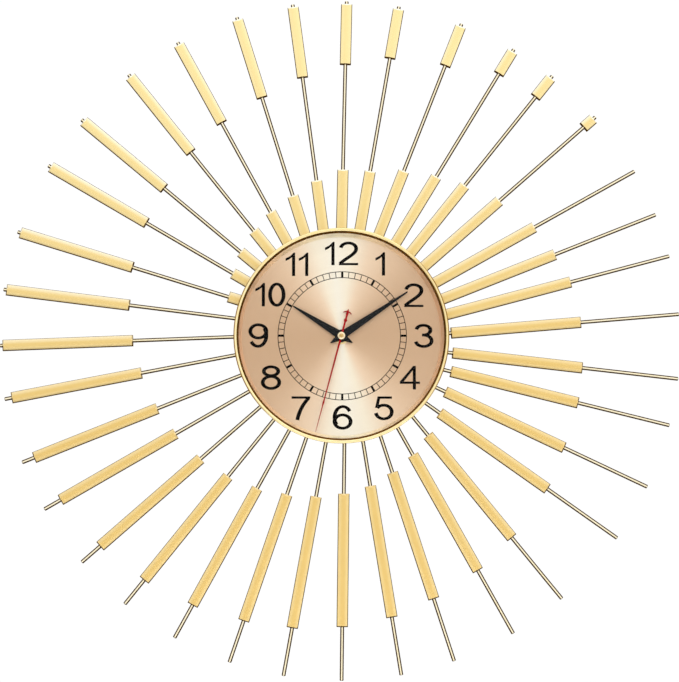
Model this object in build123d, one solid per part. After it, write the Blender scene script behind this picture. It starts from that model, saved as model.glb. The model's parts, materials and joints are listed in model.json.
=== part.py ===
from build123d import *
import math
import os

# Sunburst wall clock with a quartz movement, in millimetres.
#
# The finished clock hangs on a wall: +Z is up, +X is to the viewer's right and the dial faces -Y.
# The origin is on the axis of the hands, halfway between the wall and the front of the bezel.
#
# Every piece is drawn lying on its back: x is to the right, y is towards twelve o'clock and z is its
# depth forward of the wall. save() stands it upright. Clock angles are degrees clockwise from twelve.

# ---- overall ----
tip_radius = 350.0          # outer ends of the rods
case_radius = 109.5         # outside of the bezel
floor_depth = 20.0          # back of the case floor
sheet = 1.2                 # steel of the case pan
fit_gap = 0.1               # pieces that are pushed together by hand
end_gap = 0.1               # left free at the ends of arbors
over = 1.0                  # how far a cut is drawn past the faces it goes through
join_over = 0.5             # how far pieces of one body are drawn into each other
lens_depth = 33.2           # back of the glass
lens_thickness = 2.0
lens_edge = 0.3             # ground edge of the glass

# ---- ray panels: six straps with six rods each ----
panels = 6
rods_per_panel = 6
first_ray = 2               # the first panel starts at ray 2, at 20 degrees
ray_spacing = 10.0
weld_radius = 90.0          # where a rod crosses the middle of its strap
# The straps are hand-made: degrees by which each strap is screwed on off its place, and by which all its
# rods lean from straight outwards, clockwise positive. Some rods lean further; these go by ray.
panel_turns = (0.0, -1.1, -2.3, -1.1, 0.2, 0.0)
panel_leans = (0.0, -3.7, 3.0, 0.0, -1.6, 1.3)
rod_leans = {
    2: 1.4, 3: 1.3, 4: -1.4, 5: -1.2, 6: 0.7, 7: -1.7, 10: 1.3, 11: -1.4, 16: 1.2, 19: -0.4, 24: 1.1,
    25: -0.7, 26: 0.5, 27: -0.8, 28: -1.5, 29: -1.5, 30: 1.7, 31: 1.2, 34: 1.3, 35: 1.0, 37: -1.4,
}
rod_radius = 2.0
rod_sink = 0.5              # how deep a rod is welded into its strap
rod_chamfer = 0.5
strap_thickness = 2.5
strap_inner_radius = 82.5
rod_start_radius = 84.0
strap_outer_radius = 99.0
strap_overhang = 2.5        # degrees of strap beyond its end rods
screw_circle_radius = 90.5
screw_offsets = (-20.0, 20.0)
strap_screw_radius = 1.5
strap_screw_head = 2.75
strap_screw_head_height = 2.2
strap_screw_round = 0.9
strap_slot_width = 0.8
strap_slot_depth = 0.9
strap_nut_across = 5.5
strap_nut_height = 2.4
strap_screw_short = 0.2     # the screws end this far short of the dial
screw_hole_gap = 0.2
thread_gap = 0.02           # between a screw and the hole that it is screwed into
bar_width = 11.6
bar_thickness = 5.0
bar_corner = 0.6
bar_length = 135.0
bar_rim_radius = 106.0      # bars that start behind the bezel start here
bar_tip_radius = 347.0      # bars stop short of the rod tips
shortest_bar = 8.0
# Ray and radius at which the long bars start. They slide outwards in near-even steps between these rays.
outer_bar_starts = (
    (9, 113.0), (12, 121.0), (17, 156.0), (20, 171.0), (23, 190.5), (27, 213.5), (31, 238.0), (34, 261.0),
    (37, 294.0), (38, 302.0), (39, 319.0), (40, 321.0), (42, 345.0),
)
# Ray and radius at which the bars that start behind the bezel end.
inner_bar_ends = ((29, 123.0), (34, 154.0), (36, 173.0), (37, 174.0), (40, 202.5), (42, 230.0), (44, 244.0))

# ---- case ----
channel_drop = 2.5          # the ring channel of the pan is pressed back by this
channel_inner_radius = 80.0
channel_outer_radius = 101.0
channel_slope = 2.0
channel_bend = 0.5          # the slopes are this much narrower on the inside
bezel_wall = 1.4
bezel_back_depth = 22.5
bezel_lip = 2.0
bezel_inner_radius = 106.2
bezel_round = 1.5
dial_thickness = 0.6
dial_opening_radius = 101.8
rehaut_top_radius = 105.0
rehaut_step = 0.8           # low upright edge at the foot of the slope
gasket_thickness = 1.0

# ---- wall fittings ----
post_radius = 4.0
pad_radius = 6.5
pad_thickness = 3.0
pad_round = 1.0
post_circle_radius = 60.0
post_angles = (60.0, 180.0, 300.0)
hanger_plate_depth = 3.0
hanger_sheet = 1.5
hanger_height = 22.0
hanger_low_edge = 44.0
hanger_half_width = 26.0
hanger_foot = 10.0
keyhole_radius = 4.5
keyhole_y = 51.0
keyhole_slot_radius = 2.2
keyhole_slot_rise = 8.5

# ---- movement ----
movement_size = 56.0
movement_back = 2.0
movement_front = 19.2
movement_wall = 1.0
movement_front_wall = 1.6
movement_corner = 3.0
cover_thickness = 1.2
bay_wall_y = -11.1          # middle of the wall between the wheels and the battery
bridge_back = 10.4
bridge_thickness = 1.0
bridge_side_gap = 0.3
screw_post_radius = 1.8
screw_post_x = 23.5
screw_post_ys = (-7.5, 23.5)
post_screw_radius = 0.9
post_screw_head = 1.7
post_screw_head_height = 1.1
bridge_screw_length = 5.0
knob_back, knob_front = 2.3, 4.0
knob_radius = 6.4
knob_ribs = 24
knob_groove_radius = 0.5
knob_recess_radius = 7.3
knob_recess_depth = 4.2
recess_floor = 1.0
recess_wall = 0.8
boss_radius = 1.2
boss_front = 4.0
pivot_back = 2.7
pivot_depth = 0.8

# ---- clamping stack on the axis ----
bush_collar_radius = 5.4
bush_front = 25.0
bush_chamfer = 0.4
rubber_washer_radius = 9.5
washer_radius = 8.5
washer_thickness = 0.6
nut_across = 11.5
nut_corner_radius = 6.44    # the corners of the nut are turned down to this
nut_chamfer = 0.5
nut_height = 2.2

# ---- stepping motor, electronics and battery ----
magnet_radius = 3.0
magnet_back, magnet_front = 4.6, 7.4
stator_back, stator_front = 5.5, 6.5
stator_ring_radius = 5.4
stator_bar_width = 4.0
stator_leg_spread = 9.5
stator_leg_width = 3.6
stator_post_radius = 1.7
magnet_gap = 0.5
core_front = 7.5
core_width = 3.4
coil_y = 19.0
coil_radius = 3.0
bobbin_radius = 3.3
bobbin_tube_radius = 2.2
bobbin_half_length = 7.2
bobbin_flange = 0.8
board_centre = (-18.6, 9.0)
board_width, board_height = 12.5, 20.0
board_thickness = 1.0
chip_radius = 3.0
chip_thickness = 1.3
chip_round = 1.0
chip_drop = 5.5
crystal_radius = 1.5
crystal_length = 8.0
crystal_chamfer = 0.3
cell_radius = 7.25          # AA cell
cell_length = 50.5
cell_round = 0.5
nub_length = 1.2
nub_radius = 2.75
cell_left = -24.4
cell_y = -19.4
cell_depth = 10.2
contact_sheet = 0.4
contact_width = 9.0
contact_back, contact_front = 4.2, 16.2
spring_wire_radius = 0.3
spring_radius = 3.2
spring_pitch = 0.75

# ---- arbors and pipes, from the inside out ----
running_gap = 0.05
fine_arbor_radius = 0.4
second_arbor_radius = 0.5
minute_pipe_radius = 1.5
hour_pipe_radius = 2.5
bush_radius = 4.0
clutch_radius = 3.0         # flange that the driven wheel rubs on
clutch_gap = 0.04           # between the driven wheel and the minute pipe

# ---- wheels: teeth and modules ----
motion_distance = 9.0       # cannon pinion to motion wheel
motion_angle = -20.0        # clock angle of the motion wheel's arbor
third_distance = 9.0
third_angle = 270.0
intermediate_module = 0.3
intermediate_angle = 90.0
rotor_module = 0.25
rotor_angle = 30.0          # clock angle of the rotor seen from the intermediate arbor
cannon_teeth, motion_teeth = 12, 36
motion_pinion_teeth, hour_teeth = 10, 40
leaf_teeth = 8              # every other pinion
third_teeth, centre_teeth = 60, 64
second_teeth, intermediate_teeth = 40, 48
addendum = 0.85             # tooth proportions, in modules
dedendum = 1.2
tooth_half_widths = (0.25, 0.2, 0.08)   # at root, pitch circle and tip, in tooth pitches
wheel_thickness = 0.8

# ---- depths of the moving layers ----
hour_wheel_back = 16.6
cannon_back, cannon_front = 14.6, 16.3
motion_wheel_back = 14.9
centre_wheel_back = 13.2
third_wheel_back = 11.9
third_pinion_front = 14.2
second_wheel_back = 9.3
second_pinion_back, second_pinion_front = 11.6, 12.9
intermediate_wheel_back = 8.1
rotor_pinion_back, rotor_pinion_front = 7.9, 9.1

# ---- hands ----
hand_sheet = 0.5
hand_collar = 1.2
hand_collar_wall = 1.2
hand_collar_rise = 0.2      # the collar stands this far out of the blade
hour_pipe_front = 26.6
minute_pipe_front = 28.4
second_arbor_front = 30.4
hour_hand_length = 58.0
minute_hand_length = 81.5
hand_tail = 13.6
hand_half_width = 3.9
hand_tail_half_width = 4.6
hand_shoulder = 6.0
hand_hub_radius = 5.6
hour_rest_angle = -58.3     # the hands stand at about nine and a half minutes past ten
minute_rest_angle = 56.3
second_rest_angle = 195.0
second_hand_length = 101.5
second_tail_length = 27.4
second_hand_sheet = 0.3
second_hub_radius = 2.2
second_collar_radius = 1.3
second_collar = 0.5
second_blade_root = 0.75    # half widths of the blade, which swells a little near the minute track
second_blade_waist = 0.45
second_blade_swell = 0.7
swell_ys = (68.0, 71.5, 75.0)
tail_half_width = 0.5       # half widths of the tail
tail_flare = 1.1
diamond_half = 1.7
diamond_ys = (-17.8, -16.2, -14.4)
tail_narrow_y = -20.0
cross_y = -24.8             # curved cross-piece near the end of the tail
cross_half = 4.4
cross_drop = 1.5
cross_rise = 0.6
tail_point = 0.8
cap_radius = 4.3
cap_back, cap_front = 29.5, 31.4
cap_round = 1.2

# ---- worked-out places ----
dial_back = floor_depth + sheet
dial_front = dial_back + dial_thickness
pan_outer_radius = case_radius - bezel_wall - fit_gap
pan_inner_radius = pan_outer_radius - sheet
channel_back = floor_depth - channel_drop
strap_back = channel_back - strap_thickness
rod_depth = strap_back - rod_radius + rod_sink
gasket_back = lens_depth - gasket_thickness
bezel_front = lens_depth + lens_thickness + bezel_lip
front_wall_back = movement_front - movement_front_wall
bridge_front = bridge_back + bridge_thickness
cover_front = movement_back + cover_thickness
arbor_front = front_wall_back + pivot_depth
board_back = bridge_back - board_thickness
intermediate_distance = intermediate_module * (leaf_teeth + second_teeth) / 2
rotor_distance = rotor_module * (leaf_teeth + intermediate_teeth) / 2

BASE = (Align.CENTER, Align.CENTER, Align.MIN)


# ---- helpers ----
def save(name, *solids):
    """Write the solids of one piece, stood upright about the origin, to parts/name.step."""
    stand = Pos(0, bezel_front / 2, 0) * Rot(90, 0, 0)
    upright = Compound(label=name, children=[stand * s for s in solids])
    export_step(upright, f"parts/{name}.step")


def polar(radius, clock_angle, centre=(0.0, 0.0)):
    """Point at a radius and a clock angle about a centre."""
    turn = math.radians(clock_angle)
    return centre[0] + radius * math.sin(turn), centre[1] + radius * math.cos(turn)


def disc(radius, back, front, centre=(0.0, 0.0)):
    """Round solid between two depths."""
    return Pos(centre[0], centre[1], back) * Cylinder(radius, front - back, align=BASE)


def ring(outer, inner, back, front, centre=(0.0, 0.0)):
    """Round solid with a hole through it."""
    return disc(outer, back, front, centre) - disc(inner, back - over, front + over, centre)


def block(width, height, back, front, centre=(0.0, 0.0)):
    """Square-cornered solid between two depths."""
    return Pos(centre[0], centre[1], back) * Box(width, height, front - back, align=BASE)


def slab(outline, back, front):
    """Flat outline given a thickness."""
    return Pos(0, 0, back) * extrude(outline, front - back)


def turned(*profile):
    """Solid of revolution about the hand axis from (radius, depth) points."""
    outline = make_face(Polyline(*[(radius, 0, depth) for radius, depth in profile], close=True))
    return revolve(outline, Axis.Z)


def between(stops, ray):
    """Straight-line value at a ray from (ray, value) stops, or None outside them."""
    for (ray_a, value_a), (ray_b, value_b) in zip(stops, stops[1:]):
        if ray_a <= ray <= ray_b:
            return value_a + (value_b - value_a) * (ray - ray_a) / (ray_b - ray_a)
    return None


def gear(teeth, module, back, front, tooth_angle, centre=(0.0, 0.0)):
    """Spur gear without a bore, with one tooth centred on a clock angle."""
    pitch_radius = module * teeth / 2
    radii = (pitch_radius - dedendum * module, pitch_radius, pitch_radius + addendum * module)
    step = 360 / teeth
    points = []
    for tooth in range(teeth):
        middle = tooth_angle + tooth * step
        flank = list(zip(radii, tooth_half_widths))
        points += [polar(r, middle - share * step) for r, share in flank]
        points += [polar(r, middle + share * step) for r, share in reversed(flank)]
    return Pos(centre[0], centre[1], 0) * slab(make_face(Polyline(*points, close=True)), back, front)


def gap_angle(teeth, clock_angle):
    """Tooth angle that puts a gap, not a tooth, on a clock angle."""
    return clock_angle + 180 / teeth


# ---- places of the arbors ----
motion_centre = polar(motion_distance, motion_angle)
third_centre = polar(third_distance, third_angle)
intermediate_centre = polar(intermediate_distance, intermediate_angle)
rotor_centre = polar(rotor_distance, rotor_angle, intermediate_centre)


# ---- case ----
def panel_turn(panel):
    """Clock angle of the middle of a ray panel."""
    middle_ray = first_ray + rods_per_panel * panel + (rods_per_panel - 1) / 2
    return middle_ray * ray_spacing + panel_turns[panel]


def strap_screw_points():
    """Places of the two screws of every panel."""
    return [
        polar(screw_circle_radius, panel_turn(panel) + offset)
        for panel in range(panels)
        for offset in screw_offsets
    ]


def case_pan():
    """Drawn steel pan, with a ring channel pressed in its floor that leaves room for the strap nuts."""
    inner_start = channel_inner_radius - channel_slope
    outer_end = channel_outer_radius + channel_slope
    pan = turned(
        (bush_radius + fit_gap, floor_depth),
        (inner_start, floor_depth),
        (channel_inner_radius, channel_back),
        (channel_outer_radius, channel_back),
        (outer_end, floor_depth),
        (pan_outer_radius, floor_depth),
        (pan_outer_radius, lens_depth),
        (pan_inner_radius, lens_depth),
        (pan_inner_radius, dial_back),
        (outer_end - channel_bend, dial_back),
        (channel_outer_radius - channel_bend, channel_back + sheet),
        (channel_inner_radius + channel_bend, channel_back + sheet),
        (inner_start + channel_bend, dial_back),
        (bush_radius + fit_gap, dial_back),
    )
    for point in strap_screw_points():
        pan -= disc(strap_screw_radius + screw_hole_gap, channel_back - over, dial_back, point)
    return pan


def bezel_ring():
    """Ring with a rounded lip that holds the glass down on the case."""
    ring_inner = pan_outer_radius + fit_gap
    lip_back = lens_depth + lens_thickness
    body = turned(
        (ring_inner, bezel_back_depth),
        (case_radius, bezel_back_depth),
        (case_radius, bezel_front),
        (bezel_inner_radius, bezel_front),
        (bezel_inner_radius, lip_back),
        (ring_inner, lip_back),
    )
    front_edges = body.edges().filter_by(GeomType.CIRCLE).group_by(Axis.Z)[-1]
    return fillet(front_edges, bezel_round)


def glass_lens():
    """Flat glass with a ground edge."""
    glass = disc(pan_outer_radius - fit_gap, lens_depth, lens_depth + lens_thickness)
    return chamfer(glass.edges(), lens_edge)


def lens_gasket():
    """Dark rubber ring between the glass and the rehaut."""
    return ring(pan_inner_radius - fit_gap, rehaut_top_radius, gasket_back, lens_depth)


def rehaut_ring():
    """Sloping ring that keeps the glass off the dial and holds the dial's edge down."""
    outer = pan_inner_radius - fit_gap
    return turned(
        (dial_opening_radius, dial_front),
        (outer, dial_front),
        (outer, gasket_back),
        (rehaut_top_radius, gasket_back),
        (dial_opening_radius + rehaut_step, dial_front + rehaut_step),
        (dial_opening_radius, dial_front + rehaut_step),
    )


def dial_plate():
    """Spun aluminium dial that lies on the floor of the pan."""
    return ring(pan_inner_radius - fit_gap, bush_radius + fit_gap, dial_back, dial_front)


# ---- ray panels ----
def ray_place(panel, ray):
    """Placement that carries a piece drawn along twelve o'clock to a ray, with the lean of its rod."""
    lean = panel_leans[panel] + rod_leans.get(ray, 0.0)
    lean_place = Pos(0, weld_radius, 0) * Rot(0, 0, -lean) * Pos(0, -weld_radius, 0)
    return Rot(0, 0, -ray * ray_spacing - panel_turns[panel]) * lean_place


def rod(place):
    """One round rod, from its strap to its tip."""
    length = tip_radius - rod_start_radius
    straight = chamfer(Cylinder(rod_radius, length, align=BASE).edges(), rod_chamfer)
    return place * Pos(0, rod_start_radius, rod_depth) * Rot(-90, 0, 0) * straight


def bar(place, start, end):
    """Flat rectangular sleeve on a rod."""
    outline = RectangleRounded(bar_width, bar_thickness, bar_corner) - Circle(rod_radius)
    return place * Pos(0, start, rod_depth) * Rot(-90, 0, 0) * extrude(outline, end - start)


def bar_spans(ray):
    """Starts and ends of the bars on one ray; rays of the second turn follow on from the first."""
    spans = []
    for turn in (0, panels * rods_per_panel):
        start = between(outer_bar_starts, ray + turn)
        end = between(inner_bar_ends, ray + turn)
        if start is not None and start <= bar_tip_radius - shortest_bar:
            spans.append((start, min(start + bar_length, bar_tip_radius)))
        if end is not None:
            spans.append((bar_rim_radius, end))
    return spans


def ray_strap(panel):
    """Curved steel strap that six rods are welded to, with two screw holes."""
    middle = panel_turn(panel)
    half = ray_spacing * (rods_per_panel - 1) / 2 + strap_overhang
    outer = [polar(strap_outer_radius, middle + turn) for turn in (-half, 0, half)]
    inner = [polar(strap_inner_radius, middle + turn) for turn in (half, 0, -half)]
    outline = make_face([
        ThreePointArc(*outer),
        Line(outer[-1], inner[0]),
        ThreePointArc(*inner),
        Line(inner[-1], outer[0]),
    ])
    strap = slab(outline, strap_back, channel_back)
    for offset in screw_offsets:
        hole_centre = polar(screw_circle_radius, middle + offset)
        hole_radius = strap_screw_radius + screw_hole_gap
        strap -= disc(hole_radius, strap_back - over, channel_back + over, hole_centre)
    for rod_solid in ray_rods(panel):
        strap -= rod_solid
    return strap


def panel_rays(panel):
    """Numbers of the rays of a panel."""
    first = first_ray + rods_per_panel * panel
    return range(first, first + rods_per_panel)


def ray_rods(panel):
    """The six rods of a panel."""
    return [rod(ray_place(panel, ray)) for ray in panel_rays(panel)]


def ray_bars(panel):
    """All bars of a panel."""
    return [
        bar(ray_place(panel, ray), start, end)
        for ray in panel_rays(panel)
        for start, end in bar_spans(ray)
    ]


def strap_screw(point):
    """Pan-head screw, put in from behind."""
    head_back = strap_back - strap_screw_head_height
    head = disc(strap_screw_head, head_back, strap_back, point)
    head = fillet(head.edges().group_by(Axis.Z)[0], strap_screw_round)
    slot = block(strap_slot_width, 2 * strap_screw_head, head_back - over,
                 head_back + strap_slot_depth, point)
    return head - slot + disc(strap_screw_radius, strap_back, dial_back - strap_screw_short, point)


def strap_nut(point):
    """Hexagon nut welded in the channel of the pan."""
    back = channel_back + sheet
    hexagon = Pos(point[0], point[1], 0) * RegularPolygon(strap_nut_across / 2, 6, major_radius=False)
    nut = slab(hexagon, back, back + strap_nut_height)
    return nut - disc(strap_screw_radius + thread_gap, back - over, dial_back + over, point)


# ---- wall fittings ----
def standoff_post(clock_angle):
    """Post that holds the clock off the wall."""
    return disc(post_radius, pad_thickness, floor_depth, polar(post_circle_radius, clock_angle))


def wall_pad(clock_angle):
    """Rubber pad that touches the wall."""
    pad = disc(pad_radius, 0, pad_thickness, polar(post_circle_radius, clock_angle))
    return fillet(pad.edges().group_by(Axis.Z)[-1], pad_round)


def hanger_bracket():
    """Bent steel bracket with a keyhole, welded to the floor of the pan."""
    middle_y = hanger_low_edge + hanger_height / 2
    plate_front = hanger_plate_depth + hanger_sheet
    bracket = block(2 * hanger_half_width, hanger_height, hanger_plate_depth, plate_front, (0, middle_y))
    for side in (-1, 1):
        leg_x = side * (hanger_half_width - hanger_sheet / 2)
        foot_x = side * (hanger_half_width + hanger_foot / 2 - hanger_sheet)
        bracket += block(hanger_sheet, hanger_height, hanger_plate_depth, floor_depth, (leg_x, middle_y))
        foot_back = floor_depth - hanger_sheet
        bracket += block(hanger_foot, hanger_height, foot_back, floor_depth, (foot_x, middle_y))
    slot_top = keyhole_y + keyhole_slot_rise
    slot_middle = (0, keyhole_y + keyhole_slot_rise / 2)
    bracket -= disc(keyhole_radius, 0, plate_front + over, (0, keyhole_y))
    bracket -= block(2 * keyhole_slot_radius, keyhole_slot_rise, 0, plate_front + over, slot_middle)
    bracket -= disc(keyhole_slot_radius, 0, plate_front + over, (0, slot_top))
    return bracket


# ---- movement housing ----
def screw_post_points():
    """Places of the four posts that carry the bridge."""
    return [(side * screw_post_x, y) for side in (-1, 1) for y in screw_post_ys]


def movement_case():
    """Square plastic shell, open at the back, with the battery bay along its lower edge."""
    inside = movement_size - 2 * movement_wall
    outline = RectangleRounded(movement_size, movement_size, movement_corner)
    hollow = RectangleRounded(inside, inside, movement_corner - movement_wall)
    shell = slab(outline, cover_front, movement_front) - slab(hollow, cover_front - over, front_wall_back)
    shell += block(inside + join_over, movement_wall, cover_front, front_wall_back, (0, bay_wall_y))
    for point in screw_post_points():
        shell += disc(screw_post_radius, bridge_front, front_wall_back, point)
        shell -= disc(post_screw_radius + thread_gap, bridge_front - over, front_wall_back - over, point)
    shell -= disc(bush_radius, movement_back, movement_front + over)
    for radius, centre in ((fine_arbor_radius, third_centre), (second_arbor_radius, motion_centre)):
        shell -= disc(radius + running_gap, front_wall_back - over, arbor_front + end_gap, centre)
    return shell


def movement_cover():
    """Back plate of the wheel chamber, with three bearings and a recess for the setting knob."""
    top = movement_size / 2
    height = top - bay_wall_y + movement_wall / 2
    cover = block(movement_size, height, movement_back, cover_front, (0, top - height / 2))
    cover = fillet(cover.edges().filter_by(Axis.Z).group_by(Axis.Y)[-1], movement_corner)
    cup_front = knob_recess_depth + recess_floor
    cover += disc(knob_recess_radius + recess_wall, movement_back, cup_front, motion_centre)
    for centre in ((0.0, 0.0), intermediate_centre, rotor_centre):
        cover += disc(boss_radius, cover_front, boss_front, centre)
    cover -= disc(knob_recess_radius, movement_back - over, knob_recess_depth, motion_centre)
    cover -= disc(second_arbor_radius + running_gap, movement_back, boss_front + 2, motion_centre)
    cover -= disc(second_arbor_radius + running_gap, pivot_back, boss_front + over)
    cover -= disc(fine_arbor_radius + running_gap, pivot_back, boss_front + over, intermediate_centre)
    cover -= disc(fine_arbor_radius + running_gap, pivot_back, boss_front + over, rotor_centre)
    return cover


def train_bridge():
    """Plate inside the movement that carries the inner ends of the arbors."""
    width = movement_size - 2 * movement_wall - 2 * bridge_side_gap
    low = bay_wall_y + movement_wall / 2 + bridge_side_gap
    height = width / 2 - low
    bridge = block(width, height, bridge_back, bridge_front, (0, low + height / 2))
    bridge = fillet(bridge.edges().filter_by(Axis.Z).group_by(Axis.Y)[-1], movement_corner - movement_wall)
    for point in screw_post_points():
        bridge -= disc(post_screw_radius + screw_hole_gap, bridge_back - over, bridge_front + over, point)
    for centre in (third_centre, intermediate_centre, rotor_centre):
        bridge -= disc(fine_arbor_radius + running_gap, bridge_back - over, bridge_front + over, centre)
    for centre in ((0.0, 0.0), motion_centre):
        bridge -= disc(second_arbor_radius + running_gap, bridge_back - over, bridge_front + over, centre)
    for x in stator_leg_xs():
        bridge += disc(stator_post_radius, core_front, bridge_back, (x, coil_y))
        bridge -= disc(post_screw_radius + thread_gap, stator_back - over, bridge_front + over, (x, coil_y))
    return bridge


def movement_screw(point, head_front, shank_front):
    """Small screw, put in from behind."""
    head = disc(post_screw_head, head_front - post_screw_head_height, head_front, point)
    return head + disc(post_screw_radius, head_front, shank_front, point)


def movement_screws():
    """Four screws of the bridge and two of the stator."""
    stator_points = [(x, coil_y) for x in stator_leg_xs()]
    bridge_screws = [
        movement_screw(point, bridge_back, bridge_back + bridge_screw_length)
        for point in screw_post_points()
    ]
    stator_screws = [movement_screw(point, stator_back, bridge_front - end_gap) for point in stator_points]
    return bridge_screws + stator_screws


# ---- clamping stack on the axis ----
def threaded_bush():
    """Brass bush that the hour pipe turns in and that the clamping nut goes on."""
    bush = disc(bush_radius, front_wall_back, bush_front)
    bush += disc(bush_collar_radius, movement_front, floor_depth)
    bush -= disc(hour_pipe_radius + running_gap, front_wall_back - over, bush_front + over)
    front_rim = bush.edges().filter_by(GeomType.CIRCLE).group_by(Axis.Z)[-1]
    return chamfer(front_rim.sort_by(SortBy.RADIUS)[-1], bush_chamfer)


def rubber_washer():
    """Rubber washer between the movement and the case."""
    return ring(rubber_washer_radius, bush_collar_radius + fit_gap, movement_front, floor_depth)


def brass_washer():
    """Flat washer on the dial."""
    return ring(washer_radius, bush_radius + fit_gap, dial_front, dial_front + washer_thickness)


def hex_nut():
    """Thin brass nut that clamps dial, case and movement together."""
    back = dial_front + washer_thickness
    hexagon = RegularPolygon(nut_across / 2, 6, major_radius=False)
    front = back + nut_height
    corner_cut = chamfer(disc(nut_corner_radius, back, front).edges(), nut_chamfer)
    nut = slab(hexagon, back, front) & corner_cut
    return nut - disc(bush_radius + thread_gap, back - over, front + over)


# ---- wheels ----
def hour_wheel():
    """Hour wheel with its pipe."""
    module = motion_distance * 2 / (motion_pinion_teeth + hour_teeth)
    front = hour_wheel_back + wheel_thickness
    wheel = gear(hour_teeth, module, hour_wheel_back, front, gap_angle(hour_teeth, motion_angle))
    wheel += disc(hour_pipe_radius, hour_wheel_back, hour_pipe_front)
    return wheel - disc(minute_pipe_radius + running_gap, hour_wheel_back - over, hour_pipe_front + over)


def minute_arbor():
    """Minute pipe with the cannon pinion and the flange of the friction clutch."""
    module = motion_distance * 2 / (cannon_teeth + motion_teeth)
    flange_back = centre_wheel_back + wheel_thickness + running_gap
    arbor = gear(cannon_teeth, module, cannon_back, cannon_front, motion_angle)
    arbor += disc(clutch_radius, flange_back, cannon_back)
    arbor += disc(minute_pipe_radius, centre_wheel_back, minute_pipe_front)
    bore = second_arbor_radius + running_gap
    return arbor - disc(bore, centre_wheel_back - over, minute_pipe_front + over)


def centre_wheel():
    """Driven wheel of the friction clutch; it slips on the minute pipe when the hands are set."""
    module = third_distance * 2 / (leaf_teeth + centre_teeth)
    front = centre_wheel_back + wheel_thickness
    wheel = gear(centre_teeth, module, centre_wheel_back, front, gap_angle(centre_teeth, third_angle))
    return wheel - disc(minute_pipe_radius + clutch_gap, centre_wheel_back - over, front + over)


def motion_wheel():
    """Motion wheel and pinion, on the arbor that ends in the setting knob."""
    wheel_module = motion_distance * 2 / (cannon_teeth + motion_teeth)
    pinion_module = motion_distance * 2 / (motion_pinion_teeth + hour_teeth)
    facing = motion_angle + 180
    front = motion_wheel_back + wheel_thickness
    wheel = gear(motion_teeth, wheel_module, motion_wheel_back, front,
                 gap_angle(motion_teeth, facing), motion_centre)
    wheel += gear(motion_pinion_teeth, pinion_module, front, front_wall_back - end_gap,
                  facing, motion_centre)
    return wheel + disc(second_arbor_radius, knob_back, arbor_front, motion_centre)


def third_wheel():
    """Third wheel and pinion."""
    wheel_module = third_distance * 2 / (leaf_teeth + third_teeth)
    pinion_module = third_distance * 2 / (leaf_teeth + centre_teeth)
    facing = third_angle + 180
    front = third_wheel_back + wheel_thickness
    wheel = gear(third_teeth, wheel_module, third_wheel_back, front,
                 gap_angle(third_teeth, facing), third_centre)
    wheel += gear(leaf_teeth, pinion_module, front, third_pinion_front, facing, third_centre)
    return wheel + disc(fine_arbor_radius, bridge_back, arbor_front, third_centre)


def second_arbor():
    """Long arbor of the second hand, with its wheel and pinion."""
    pinion_module = third_distance * 2 / (leaf_teeth + third_teeth)
    front = second_wheel_back + wheel_thickness
    arbor = disc(second_arbor_radius, pivot_back + end_gap, second_arbor_front)
    arbor += gear(second_teeth, intermediate_module, second_wheel_back, front,
                  gap_angle(second_teeth, intermediate_angle))
    return arbor + gear(leaf_teeth, pinion_module, second_pinion_back, second_pinion_front, third_angle)


def intermediate_wheel():
    """Wheel and pinion between the rotor and the second wheel."""
    front = intermediate_wheel_back + wheel_thickness
    facing = intermediate_angle + 180
    wheel = gear(intermediate_teeth, rotor_module, intermediate_wheel_back, front,
                 gap_angle(intermediate_teeth, rotor_angle), intermediate_centre)
    wheel += gear(leaf_teeth, intermediate_module, front, second_wheel_back + wheel_thickness,
                  facing, intermediate_centre)
    return wheel + disc(fine_arbor_radius, pivot_back + end_gap, bridge_front, intermediate_centre)


def rotor():
    """Magnet rotor with its pinion."""
    body = disc(fine_arbor_radius, pivot_back + end_gap, bridge_front, rotor_centre)
    body += disc(magnet_radius, magnet_back, magnet_front, rotor_centre)
    return body + gear(leaf_teeth, rotor_module, rotor_pinion_back, rotor_pinion_front,
                       rotor_angle + 180, rotor_centre)


def setting_knob():
    """Ribbed wheel at the back that sets the hands."""
    knob = ring(knob_radius, second_arbor_radius, knob_back, knob_front, motion_centre)
    for rib in range(knob_ribs):
        groove = polar(knob_radius + knob_groove_radius / 2, rib * 360 / knob_ribs, motion_centre)
        knob -= disc(knob_groove_radius, knob_back - over, knob_front + over, groove)
    return knob


# ---- stepping motor and electronics ----
def stator_leg_xs():
    """Middles of the two legs of the stator."""
    return [rotor_centre[0] + side * stator_leg_spread for side in (-1, 1)]


def stator():
    """Soft-iron stator plate round the rotor."""
    x, y = rotor_centre
    span = 2 * stator_leg_spread + stator_leg_width
    plate = disc(stator_ring_radius, stator_back, stator_front, rotor_centre)
    plate += block(span, stator_bar_width, stator_back, stator_front, (x, y))
    leg_low = y - stator_bar_width / 2
    leg_top = coil_y + core_width / 2
    for leg_x in stator_leg_xs():
        leg_middle = (leg_x, (leg_low + leg_top) / 2)
        plate += block(stator_leg_width, leg_top - leg_low, stator_back, stator_front, leg_middle)
        hole_radius = post_screw_radius + screw_hole_gap
        plate -= disc(hole_radius, stator_back - over, stator_front + over, (leg_x, coil_y))
    return plate - disc(magnet_radius + magnet_gap, stator_back - over, stator_front + over, rotor_centre)


def coil_core():
    """Iron bar through the coil."""
    span = 2 * stator_leg_spread + stator_leg_width
    core = block(span, core_width, stator_front, core_front, (rotor_centre[0], coil_y))
    for leg_x in stator_leg_xs():
        hole_radius = post_screw_radius + screw_hole_gap
        core -= disc(hole_radius, stator_front - over, core_front + over, (leg_x, coil_y))
    return core


def along_coil(radius, start, end):
    """Round solid on the axis of the coil, from one distance off its middle to another."""
    place = Pos(rotor_centre[0] + start, coil_y, (stator_front + core_front) / 2) * Rot(0, 90, 0)
    return place * Cylinder(radius, end - start, align=BASE)


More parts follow.
